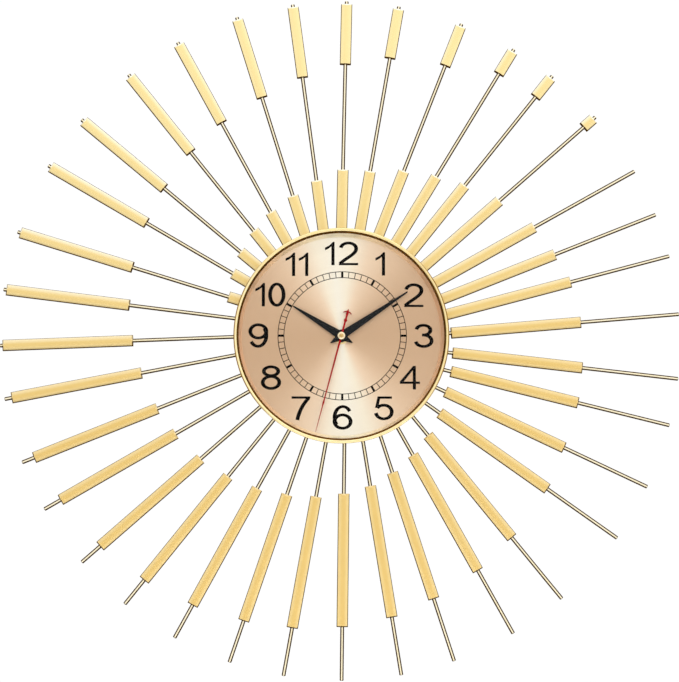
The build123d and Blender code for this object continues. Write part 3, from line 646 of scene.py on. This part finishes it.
def bezel_gold():
    """Plated and rolled rim of the case, with painted shade where it turns in and on the outside of its left
    and right.
    """
    finish = grained("bezel_gold", colour(255, 242, 192), colour(246, 216, 146), 0.2, 0.05, metallic=1.0,
                     scale=3.0, stretch=(900, 6, 6), depth=0.003, source="round_grain")
    # Painted shade on the outside of the rim at its left and right, and where the bead turns in.
    outward = finish.unit(finish.add("VectorMath", {0: finish.place(), 1: (1, 0, 1)}, operation="MULTIPLY"))
    lean = finish.dot(outward, finish.normal())
    outer_side = finish.math("MULTIPLY", finish.span(lean, 0.1, 0.4, 0.0, 1.0),
                             finish.span(fan_share(finish), 0.6, 0.9, 0.0, 1.0))
    outer_side = finish.math("MULTIPLY", outer_side, finish.span(finish.turned(), 0.85, 0.97, 1.0, 0.0))
    dark = finish.math("MAXIMUM", finish.corner_share(0.25, 0.6, 0.1), outer_side)
    finish.darken(finish.body(), dark, colour(126, 86, 16))
    return finish.material


def gold_paint():
    """Gold paint over steel, with the fine orange peel of a sprayed coat."""
    return grained("gold_paint", colour(226, 190, 118), colour(206, 168, 98), 0.42, 0.06, metallic=0.85,
                   scale=1400.0, depth=0.02).material


def fan_share(finish):
    """0 where a spun sheet throws its bright fans, up and down and a little left, and 1 at the sides; it
    places painted highlight and painted shade.
    """
    x, z, radius = finish.about_axis()
    lean = math.radians(-5)
    side = finish.math("SUBTRACT", finish.math("MULTIPLY", x, math.cos(lean)),
                       finish.math("MULTIPLY", z, math.sin(lean)))
    return finish.math("ABSOLUTE", finish.math("DIVIDE", side, radius))


def spun_dial():
    """Rose-gold sheet, spun-brushed in rings, whose anisotropic gloss throws bright fans up and down; the
    fans are also painted into its colour as painted highlight.
    """
    finish = Finish("spun_dial")
    rings = finish.noise(finish.round_grain(), 1.0, (2600, 2, 2), detail=5.0)
    # Painted highlight: paler in the fans up and down, darker at the sides.
    body = finish.ramp(fan_share(finish), (
        (0.0, colour(255, 246, 231)), (0.2, colour(255, 242, 221)), (0.4, colour(246, 218, 190)),
        (0.6, colour(233, 200, 169)), (0.8, colour(217, 182, 150)), (1.0, colour(208, 172, 140)),
    ))
    finish.set(
        Base_Color=finish.blend(finish.span(rings, 0.3, 0.7, 0.0, 0.10), body, colour(176, 134, 100)),
        Metallic=0.9,
        Roughness=finish.span(rings, 0.3, 0.7, 0.30, 0.42),
        Anisotropic=0.75,
        Tangent=finish.add("Tangent", direction_type="RADIAL", axis="Y"),
        Normal=finish.bump(rings, 0.004 * MM, 0.6),
    )
    return finish.material


def rehaut_paint():
    """Rose-gold satin lacquer on the ring between the dial and the glass, with painted highlight: paler in
    the fans up and down, darker at the sides.
    """
    finish = Finish("rehaut_paint")
    rings = finish.noise(finish.round_grain(), 1.0, (900, 3, 3))
    # Painted highlight: paler in the fans up and down, darker at the sides.
    body = finish.ramp(fan_share(finish), (
        (0.0, colour(255, 248, 226)), (0.4, colour(255, 238, 206)), (0.8, colour(255, 222, 186)),
        (1.0, colour(255, 216, 180)),
    ))
    finish.set(
        Base_Color=finish.blend(finish.span(rings, 0.3, 0.7, 0.0, 0.10), body, colour(190, 148, 108)),
        Metallic=0.75,
        Roughness=finish.span(rings, 0.3, 0.7, 0.4, 0.5),
    )
    return finish.material


def black_print():
    """Matt black ink."""
    return grained("black_print", colour(8, 6, 5), colour(3, 2, 2), 0.6, 0.06, scale=900.0,
                   specular=0.02).material


def hand_black():
    """Satin black paint on the hands."""
    return grained("hand_black", colour(19, 22, 24), colour(9, 10, 11), 0.36, 0.05, scale=700.0, depth=0.004,
                   specular=0.12).material


def hand_red():
    """Red paint on the second hand."""
    return grained("hand_red", colour(172, 10, 18), colour(128, 5, 10), 0.38, 0.05, scale=700.0, depth=0.003,
                   specular=0.06).material


def cap_gold():
    """Pale satin plate on the cap of the hands, with painted shade round its rounded edge and darker in the
    middle.
    """
    finish = grained("cap_gold", colour(255, 244, 214), colour(240, 218, 172), 0.28, 0.05, metallic=1.0,
                     scale=2.0, stretch=(3000, 2, 2), source="round_grain")
    _, _, radius = finish.about_axis()
    centre = finish.span(radius, 1.7 * MM, 2.5 * MM, 1.0, 0.0)
    # Painted shade round the cap's rounded edge.
    finish.darken(finish.body(), finish.corner_share(0.3, 0.6, 0.1), colour(120, 92, 50))
    finish.set(Base_Color=finish.blend(centre, finish.body(), colour(214, 176, 112)))
    return finish.material


def window_glass():
    """Clear flat glass: see-through, with a faint gloss that grows towards the edge-on view."""
    finish = Finish("window_glass")
    smear = finish.noise(finish.place(), 60.0)
    roughness = finish.span(smear, 0.3, 0.7, 0.02, 0.05)
    gloss = finish.add("BsdfGlossy", {"Color": (1, 1, 1, 1), "Roughness": roughness})
    clear = finish.add("BsdfTransparent", {"Color": (0.985, 0.99, 0.985, 1)})
    fresnel = finish.add("Fresnel", {"IOR": 1.2})
    mixed = finish.add("MixShader", {0: finish.math("MULTIPLY", fresnel, 0.4), 1: clear, 2: gloss})
    finish.feed(finish.nodes["Material Output"].inputs["Surface"], mixed)
    return finish.material


def gasket_brown():
    """Dark brown rubber of the seal under the glass, its brown and width also painted shade for the shadow
    under the bezel's lip.
    """
    return grained("gasket_brown", colour(118, 76, 16), colour(88, 52, 8), 0.6, 0.06, scale=1500.0,
                   depth=0.01, specular=0.05).material


def soft_rubber():
    return grained("soft_rubber", colour(34, 31, 29), colour(18, 17, 16), 0.7, 0.08, scale=1500.0,
                   depth=0.03, specular=0.3).material


def zinc_steel():
    """Zinc-plated steel."""
    return grained("zinc_steel", colour(206, 208, 206), colour(168, 171, 170), 0.32, 0.08, metallic=1.0,
                   scale=260.0, depth=0.006).material


def bright_steel():
    return grained("bright_steel", colour(216, 216, 214), colour(186, 187, 187), 0.22, 0.05, metallic=1.0,
                   scale=900.0, depth=0.003).material


def black_plastic():
    """Moulded black plastic with a fine spark-eroded texture."""
    return grained("black_plastic", colour(42, 43, 45), colour(26, 27, 29), 0.5, 0.08, scale=2400.0,
                   depth=0.03, specular=0.45).material


def white_plastic():
    return grained("white_plastic", colour(236, 234, 226), colour(218, 215, 205), 0.42, 0.06, scale=1200.0,
                   depth=0.01).material


def wheel_plastic():
    """Cream acetal of the moulded wheels."""
    return grained("wheel_plastic", colour(244, 240, 226), colour(226, 220, 202), 0.35, 0.05, scale=900.0,
                   depth=0.006, coat=0.15).material


def turned_brass():
    return grained("turned_brass", colour(250, 228, 178), colour(230, 200, 142), 0.22, 0.06, metallic=1.0,
                   scale=2.0, stretch=(2200, 3, 3), depth=0.003, source="round_grain").material


def magnet_grey():
    return grained("magnet_grey", colour(96, 96, 98), colour(64, 64, 67), 0.4, 0.08, metallic=0.7,
                   scale=1100.0, depth=0.01).material


def soft_iron():
    return grained("soft_iron", colour(150, 146, 140), colour(112, 108, 104), 0.38, 0.08, metallic=1.0,
                   scale=700.0, depth=0.006).material


def wound_copper():
    """Enamelled copper wire, wound in fine turns along the coil."""
    finish = Finish("wound_copper")
    turns = finish.add("TexWave", {"Vector": finish.place(), "Scale": 900.0, "Distortion": 0.6}, output=1,
                       wave_type="BANDS", bands_direction="Z")
    finish.set(
        Base_Color=finish.blend(turns, colour(120, 52, 24), colour(206, 112, 60)),
        Metallic=0.9,
        Roughness=finish.span(turns, 0, 1, 0.42, 0.24),
        Normal=finish.bump(turns, 0.05 * MM),
        Coat_Weight=0.5,
    )
    return finish.material


def board_green():
    return grained("board_green", colour(44, 104, 62), colour(26, 74, 44), 0.35, 0.06, scale=900.0,
                   depth=0.01, coat=0.4).material


def chip_resin():
    return grained("chip_resin", colour(30, 30, 32), colour(16, 16, 18), 0.5, 0.08, scale=2600.0,
                   depth=0.02).material


def bright_nickel():
    return grained("bright_nickel", colour(214, 210, 200), colour(184, 180, 170), 0.2, 0.05, metallic=1.0,
                   scale=700.0, depth=0.003).material


def cell_sleeve():
    """Shrink sleeve of the battery: dark, with a copper-coloured band at the top end."""
    finish = grained("cell_sleeve", colour(30, 33, 38), colour(18, 20, 24), 0.26, 0.05, scale=500.0,
                     depth=0.004, coat=0.6)
    low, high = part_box("battery")
    x = finish.coordinate(finish.place(), 0)
    band = finish.math("GREATER_THAN", x, low.x + 0.72 * (high.x - low.x))
    finish.set(Base_Color=finish.blend(band, finish.body(), colour(196, 122, 62)))
    return finish.material


slot_finishes = {
    "bezel_gold": bezel_gold, "rod_gold": polished_gold, "bar_gold": satin_gold, "gold_paint": gold_paint,
    "glass": window_glass, "rubber": soft_rubber, "rehaut": rehaut_paint, "dial": spun_dial,
    "zinc_steel": zinc_steel, "black_plastic": black_plastic, "white_plastic": white_plastic,
    "wheel_plastic": wheel_plastic, "brass": turned_brass, "steel": bright_steel, "magnet": magnet_grey,
    "soft_iron": soft_iron, "copper": wound_copper, "board_green": board_green, "resin_black": chip_resin,
    "nickel": bright_nickel, "cell_sleeve": cell_sleeve, "hand_black": hand_black, "hand_red": hand_red,
    "cap_gold": cap_gold,
}
finishes = {slot: make() for slot, make in slot_finishes.items()}
print_ink = black_print()


# ---- rays ----
def bar_section(half_width, half_depth):
    """Outline of a bar's cross-section as (across, depth): rounded corners and gently crowned faces."""
    side = half_width - bar_corner
    shoulder = half_depth - bar_crown - bar_corner
    section = []
    for start, right, front in ((0, 1, 1), (90, -1, 1), (180, -1, -1), (270, 1, -1)):
        middle = (right * side, front * shoulder)
        section += arc(middle, (bar_corner, bar_corner), start, start + 90, steps=4)
        if start in (0, 180):
            section += crown(side, half_depth, front)
    return section


def crown(side, half_depth, front):
    """Points across one face of a bar between its corners, highest in the middle."""
    shares = (0.75, 0.5, 0.25, 0, -0.25, -0.5, -0.75)
    rise = [half_depth - bar_crown * share * share for share in shares]
    return [(front * share * side, front * height) for share, height in zip(shares, rise)]


def bevelled(section, half_depth, narrowest):
    """The outline at a bar's end: lowered front and back, except where the bore needs the metal."""
    lowered = []
    for across, depth in section:
        depth *= 1 - bar_end_bevel / half_depth
        spread = max(1.0, narrowest / math.hypot(across, depth))
        lowered.append((across * spread, depth * spread))
    return lowered


def add_bar(shape, ray, number):
    """One bar: a crowned tube, bevelled front and back at its ends, with a bore for the rod."""
    section = bar_section(ray.half_width, ray.half_depth)
    bore = rod_radius + bore_gap
    small = bevelled(section, ray.half_depth, bore + bore_wall)
    hole = [Vector(point).normalized() * bore for point in section]
    rings = [(ray.inner, small), (ray.inner + bar_end_bevel, section), (ray.inner + end_band, section),
             (ray.outer - end_band, section), (ray.outer - bar_end_bevel, section), (ray.outer, small),
             (ray.outer, hole), (ray.inner, hole)]
    loops = [[ray.place(along, across, depth) for across, depth in outline] for along, outline in rings]
    grain = [[(along * MM, (across + depth) * MM, number) for across, depth in outline]
             for along, outline in rings]
    shape.skin(loops, closed=True, grain=grain)


def add_rod(shape, ray, number):
    """One rod with rounded ends."""
    steps = 28
    soft = [(rod_end_round * (1 - math.cos(a)), rod_end_round * (1 - math.sin(a)))
            for a in (0.0, math.pi / 6, math.pi / 3, math.pi / 2)]
    stations = [(ray.inner + inset, ray.half_depth - cut) for inset, cut in soft]
    stations += [(ray.inner + end_band, ray.half_depth), (ray.outer - end_band, ray.half_depth)]
    stations += [(ray.outer - inset, ray.half_depth - cut) for inset, cut in reversed(soft)]
    loops, grain = [], []
    for along, radius in stations:
        outline = [(radius * math.cos(TURN * i / steps), radius * math.sin(TURN * i / steps))
                   for i in range(steps)]
        loops.append([ray.place(along, across, depth) for across, depth in outline])
        grain.append([(along * MM, (across + depth) * MM, number) for across, depth in outline])
    shape.skin(loops, grain=grain)


def build_rays():
    """Rods and bars of each panel, one piece of each kind to a panel."""
    number = 0
    for panel in range(1, 7):
        for kind, slot, add in (("rods", "rod_gold", add_rod), ("bars", "bar_gold", add_bar)):
            node = f"ray_{kind}_{panel}"
            shape = Shape()
            for points in solids_of(node):
                number += 1
                add(shape, Ray(points), number)
            shape.piece(f"{kind}_{panel}", finishes[slot], "clock_body", node)


rod_radius = Ray(solids_of("ray_rods_1")[0]).half_depth
build_rays()


# ---- case ----
def turn_piece(name, slot, node, profile, body="clock_body", material=None, smooth_angle=35, **turning):
    """Make a piece from an outline turned about the hand axis, to stand for a CAD node."""
    shape = Shape()
    shape.lathe(profile, **turning)
    shape.piece(name, material or finishes[slot], body, node, smooth_angle)


def build_bezel():
    """Plated rim: a straight wall that ends in a round bead over the edge of the glass."""
    back, front = depths("bezel_ring")
    outside = outer_radius("bezel_ring")
    inside = radii_of("bezel_ring").min()
    seat = outer_radius("glass_lens") + glass_gap
    glass_front = depths("glass_lens")[1]
    bead = (outside - inside) / 2
    middle = (inside + outside) / 2
    rise = bead_rise * bead
    profile = [(outside - rim_edge, back), (outside, back + rim_edge)]
    profile += arc((middle, front - rise), (bead, rise), 0, 180, steps=20)
    profile += [(inside, glass_front), (seat, glass_front), (seat, back)]
    turn_piece("bezel", "bezel_gold", "bezel_ring", profile)


def build_rehaut():
    """Sloping ring that hides the gap between the dial and the glass."""
    back, front = depths("rehaut_ring")
    radii = radii_of("rehaut_ring")
    outside = radii.max()
    foot = radii.min()
    top = radii[points_of("rehaut_ring")[:, 2] > front - 0.1].min()
    profile = [(outside, back), (foot, back), (foot, back + 0.45), (foot + 0.35, back + 0.75),
               (top - 0.35, front - 0.35), (top, front), (outside, front)]
    turn_piece("rehaut", "rehaut", "rehaut_ring", profile)


def build_gasket():
    """Rubber seal under the glass, round where it can be seen; its dark line is partly painted shade under
    the bezel's lip.
    """
    back, front = depths("lens_gasket")
    radii = radii_of("lens_gasket")
    inside = radii.min() - gasket_bulge
    outside = radii.max()
    half = (front - back) / 2
    profile = [(outside, back), (outside, front)]
    profile += arc((inside + half, (front + back) / 2), (half, half), 90, 270, steps=10)
    turn_piece("gasket", "rubber", "lens_gasket", profile, material=gasket_brown())


def build_glass():
    """Flat window with ground edges."""
    back, front = depths("glass_lens")
    radius = outer_radius("glass_lens")
    flat = radius - ground_edge
    profile = [(0.02, back), (flat, back), (radius, back + ground_edge), (radius, front - ground_edge),
               (flat, front), (0.02, front)]
    turn_piece("glass", "glass", "glass_lens", profile, closed=False)


def build_dial():
    """Spun sheet dial with its centre hole."""
    back, front = depths("dial_plate")
    bore = radii_of("dial_plate").min()
    radius = outer_radius("dial_plate")
    profile = [(radius, back), (radius, front), (bore + broken_edge, front), (bore, front - broken_edge),
               (bore, back)]
    turn_piece("dial", "dial", "dial_plate", profile)


def build_washer():
    """Brass washer under the nut, which hangs a little low by the play in its hole."""
    back, front = depths("brass_washer")
    bore = radii_of("brass_washer").min() + washer_drop
    profile = [(bore, back), (washer_radius, back), (washer_radius, front - broken_edge),
               (washer_radius - broken_edge, front), (bore, front)]
    turn_piece("washer", "brass", "brass_washer", profile, steps=hub_steps, centre=(0.0, -washer_drop))


def build_print():
    """Numerals and minute track, a film of ink on the dial."""
    surface = depths("dial_plate")[1]
    figures_shape = Shape()
    for hour in range(1, 13):
        figures_shape.slab(union(numeral(hour)), surface, surface + ink)
    figures_shape.piece("numerals", print_ink, "clock_body")
    track = Shape()
    for radius in (track_outer, track_inner):
        inner = radius - track_line
        track.lathe([(radius, surface), (radius, surface + ink), (inner, surface + ink), (inner, surface)],
                    centre=print_shift)
    for minute in range(60):
        angle = TURN * minute / 60
        half = (tick_thin if minute % 5 else tick_thick) / 2
        corners = [(track_inner, -half), (track_outer - track_line, -half),
                   (track_outer - track_line, half), (track_inner, half)]
        flat = [(along * math.sin(angle) + across * math.cos(angle) + print_shift[0],
                 along * math.cos(angle) - across * math.sin(angle) + print_shift[1])
                for along, across in corners]
        track.skin([[at(right, up, depth) for right, up in flat] for depth in (surface, surface + ink)])
    track.piece("minute_track", print_ink, "clock_body")


build_bezel()
build_rehaut()
build_gasket()
build_glass()
build_dial()
build_washer()
build_print()


# ---- hands ----
class Hand:
    """Where a CAD hand points, clockwise from twelve in radians, and the depths of its blade and collar."""

    def __init__(self, node, hub):
        points = points_of(node)
        radii = np.hypot(points[:, 0], points[:, 1])
        right, up, _ = points[radii.argmax()]
        self.angle = math.atan2(right, up)
        self.length = radii.max()
        self.bore = radii.min()
        blade = points[radii > hub + 0.5]
        self.back, self.front = blade[:, 2].min(), blade[:, 2].max()
        collar = points[points[:, 2] > self.front + 0.05]
        self.collar = np.hypot(collar[:, 0], collar[:, 1]).max() if len(collar) else 0.0
        self.rear, self.fore = depths(node)

    def place(self, along, across, depth):
        """A place on the clock from a distance along the hand, across it and forward of the wall."""
        sine, cosine = math.sin(self.angle), math.cos(self.angle)
        return at(along * sine + across * cosine, along * cosine - across * sine, depth)

    def blade(self, shape, stations, edge):
        """A long blade with a raised spine; a station is a distance along it and half its width there."""
        loops = []
        for along, half in stations:
            section = ((-half, self.back), (-half, edge), (0, self.front), (half, edge), (half, self.back))
            loops.append([self.place(along, across, depth) for across, depth in section])
        shape.skin(loops)


def build_black_hand(name, node, body):
    """Hour or minute hand: a long tapered blade, a round hub with a pressed-in collar, a pointed tail."""
    hub = black_hub
    hand = Hand(node, hub)
    shape = Shape()
    edge = hand.front - 0.22
    stations = [(-black_tail, 0.2), (-black_tail + 0.8, 0.62), (0, 4.55), (6, 4.0),
                (0.6 * hand.length, 2.15), (hand.length - 1.0, 0.75), (hand.length, 0.4)]
    hand.blade(shape, stations, edge)
    shape.lathe([(hand.bore, hand.back), (hub - 0.15, hand.back), (hub, hand.back + 0.1), (hub, edge),
                 (hub - 0.35, hand.front), (hand.bore, hand.front)], steps=hub_steps)
    shape.lathe([(hand.bore, hand.rear), (hand.collar, hand.rear), (hand.collar, hand.fore - 0.2),
                 (hand.collar - 0.2, hand.fore), (hand.bore, hand.fore)], steps=hub_steps)
    shape.piece(name, finishes["hand_black"], body, node, smooth_angle=20)


def build_second_hand():
    """Thin red sweep hand with a small anchor on its tail."""
    hub = red_hub
    hand = Hand("second_hand", hub)
    shape = Shape()
    edge = hand.front - 0.08
    needle = [(0, 1.1), (6, 0.95), (45, 0.72), (66, 0.6), (70.5, 0.95), (74, 0.55), (90, 0.38),
              (hand.length, 0.2)]
    tail = [(0, 1.1), (-13.0, 0.9), (-14.6, 1.0), (-16.2, 1.9), (-17.8, 1.0), (-20, 0.9), (-23, 1.3),
            (-25.4, 1.3), (-28.0, 0.15)]
    hand.blade(shape, needle, edge)
    hand.blade(shape, tail, edge)
    outline = arc((0, -20.5), (5.6, 5.6), -142, -38, steps=12)
    outline += arc((0, -19.6), (5.2, 5.2), -42, -138, steps=12)
    loops = [[hand.place(along, across, depth) for across, along in outline] for depth in (hand.back, edge)]
    shape.skin(loops)
    shape.lathe([(hand.bore, hand.back), (hub, hand.back), (hub, hand.front), (hand.bore, hand.front)],
                steps=64)
    shape.piece("sweep_hand", finishes["hand_red"], "second_works", "second_hand",
                smooth_angle=20)


def build_cap():
    """Domed cap over the hub of the hands, with a turned groove."""
    back, front = depths("second_cap")
    radius = outer_radius("second_cap") - cap_trim
    rise = front - back
    profile = [(0.03, back), (radius - 0.3, back), (radius, back + 0.3), (radius, back + 0.35 * rise)]
    profile += [(radius * math.cos(a), back + (0.35 + 0.55 * math.sin(a)) * rise)
                for a in (0.3, 0.6, 0.9)]
    profile += [(0.52 * radius, front - 0.12), (0.46 * radius, front - 0.22), (0.40 * radius, front - 0.06),
                (0.2 * radius, front), (0.03, front)]
    turn_piece("hand_cap", "cap_gold", "second_cap", profile, body="second_works", smooth_angle=30,
               closed=False, steps=hub_steps)


build_black_hand("hour_blade", "hour_hand", "hour_works")
build_black_hand("minute_blade", "minute_hand", "minute_works")
build_second_hand()
build_cap()


# ---- carried-over CAD nodes ----
def dress_nodes():
    """Give every CAD node that still shows the finish of its material slot."""
    for part in frame["record"]["subparts"]:
        node = frame["nodes"][part["node"]]
        if node.hide_render:
            continue
        node.data.materials.clear()
        node.data.materials.append(finishes[part["material_slot"]])


dress_nodes()


# ---- studio ----
def build_world():
    """White paper behind the clock; for reflections, light from the front, above and to the right."""
    world = bpy.data.worlds.new("studio")
    bpy.context.scene.world = world
    world.use_nodes = True
    tree = Nodes(world.node_tree)
    direction = tree.add("TexCoord", output="Generated")
    lift = tree.dot(direction, (0.42, 0.0, 0.9))
    upward = tree.ramp(tree.span(lift, -1.0, 1.0, 0.0, 1.0), (
        (0.0, (0.2, 0.17, 0.13, 1)), (0.15, (0.3, 0.27, 0.23, 1)), (0.3, (0.5, 0.49, 0.47, 1)),
        (0.42, (0.57, 0.57, 0.565, 1)), (0.58, (0.58, 0.58, 0.58, 1)), (0.75, (0.66, 0.66, 0.66, 1)),
        (0.9, (0.8, 0.8, 0.8, 1)),
    ))
    backward = tree.ramp(tree.span(tree.coordinate(direction, 1), -1.0, 1.0, 0.0, 1.0), (
        (0.0, (1, 1, 1, 1)), (0.34, (0.97, 0.97, 0.97, 1)), (0.5, (0.85, 0.84, 0.83, 1)),
        (0.7, (0.7, 0.69, 0.68, 1)), (0.88, (0.72, 0.71, 0.7, 1)), (1.0, (0.8, 0.8, 0.8, 1)),
    ))
    gloss = tree.add("Mix", {0: 1.0, 6: upward, 7: backward}, output=2,
                     data_type="RGBA", blend_type="MULTIPLY")
    shine = tree.add("Background", {"Color": gloss, "Strength": 1.82})
    fill = tree.add("Background", {"Color": (0.9, 0.9, 0.9, 1)})
    paper = tree.add("Background", {"Color": (1, 1, 1, 1), "Strength": 1.02})
    soft = tree.add("MixShader", {0: tree.add("LightPath", output="Is Glossy Ray"), 1: fill, 2: shine})
    seen = tree.add("MixShader", {0: tree.add("LightPath", output="Is Camera Ray"), 1: soft, 2: paper})
    tree.feed(tree.nodes["World Output"].inputs["Surface"], seen)


def add_softbox(name, place, size, power, aim):
    """A square area light, in metres and watts, that leaves the reflections to the world."""
    data = bpy.data.lights.new(name, "AREA")
    data.shape = "SQUARE"
    data.size = size
    data.energy = power
    light = bpy.data.objects.new(name, data)
    light.location = place
    light.visible_glossy = False
    light.rotation_euler = (Vector(aim) - Vector(place)).to_track_quat("-Z", "Y").to_euler()
    bpy.context.scene.collection.objects.link(light)


def build_floor():
    """Pale studio floor that fades out before its edge shows and doesn't hide the clock from below."""
    radius = 1.25
    below = 0.5
    points = [Vector((0, 0, -below))]
    steps = 64
    points += [Vector((radius * math.cos(TURN * i / steps), radius * math.sin(TURN * i / steps), -below))
               for i in range(steps)]
    faces = [(0, 1 + i, 1 + (i + 1) % steps) for i in range(steps)]
    mesh = bpy.data.meshes.new("floor")
    mesh.from_pydata(points, [], faces)
    finish = Finish("floor_paper")
    place = finish.place()
    level = finish.add("VectorMath", {0: place, 1: (1, 1, 0)}, operation="MULTIPLY")
    reach = finish.add("VectorMath", {0: level}, output=1, operation="LENGTH")
    fade = finish.add("MapRange", {0: reach, 1: 0.45 * radius, 2: 0.98 * radius, 3: 1.0, 4: 0.0},
                      interpolation_type="SMOOTHSTEP")
    underside = finish.add("NewGeometry", output="Backfacing")
    speck = finish.noise(place, 300.0)
    finish.set(Base_Color=finish.blend(speck, colour(240, 239, 236), colour(246, 245, 243)), Roughness=0.9,
               Alpha=finish.math("SUBTRACT", fade, underside, clamp=True))
    mesh.materials.append(finish.material)
    floor = bpy.data.objects.new("floor", mesh)
    bpy.context.scene.collection.objects.link(floor)


def build_camera():
    """Long lens a little below and to the left of the clock."""
    azimuth = math.radians(-camera_left)
    elevation = math.radians(-camera_below)
    target = at(*camera_aim, depths("dial_plate")[1])
    back = Vector((math.sin(azimuth) * math.cos(elevation), -math.cos(azimuth) * math.cos(elevation),
                   math.sin(elevation)))
    data = bpy.data.cameras.new("camera")
    data.lens = camera_lens
    camera = bpy.data.objects.new("camera", data)
    camera.location = target + back * camera_distance
    camera.rotation_euler = (-back).to_track_quat("-Z", "Y").to_euler()
    bpy.context.scene.collection.objects.link(camera)
    bpy.context.scene.camera = camera


build_world()
build_floor()
build_camera()
add_softbox("high_softbox", (-0.25, -1.3, 1.7), 0.7, 22.0, (0, 0, 0))
add_softbox("side_softbox", (1.5, -1.4, 0.8), 1.0, 12.0, (0, 0, 0))
add_softbox("rear_softbox", (-1.2, 1.5, 0.9), 1.2, 14.0, (0, 0, 0))
bpy.context.scene.view_settings.view_transform = "Standard"
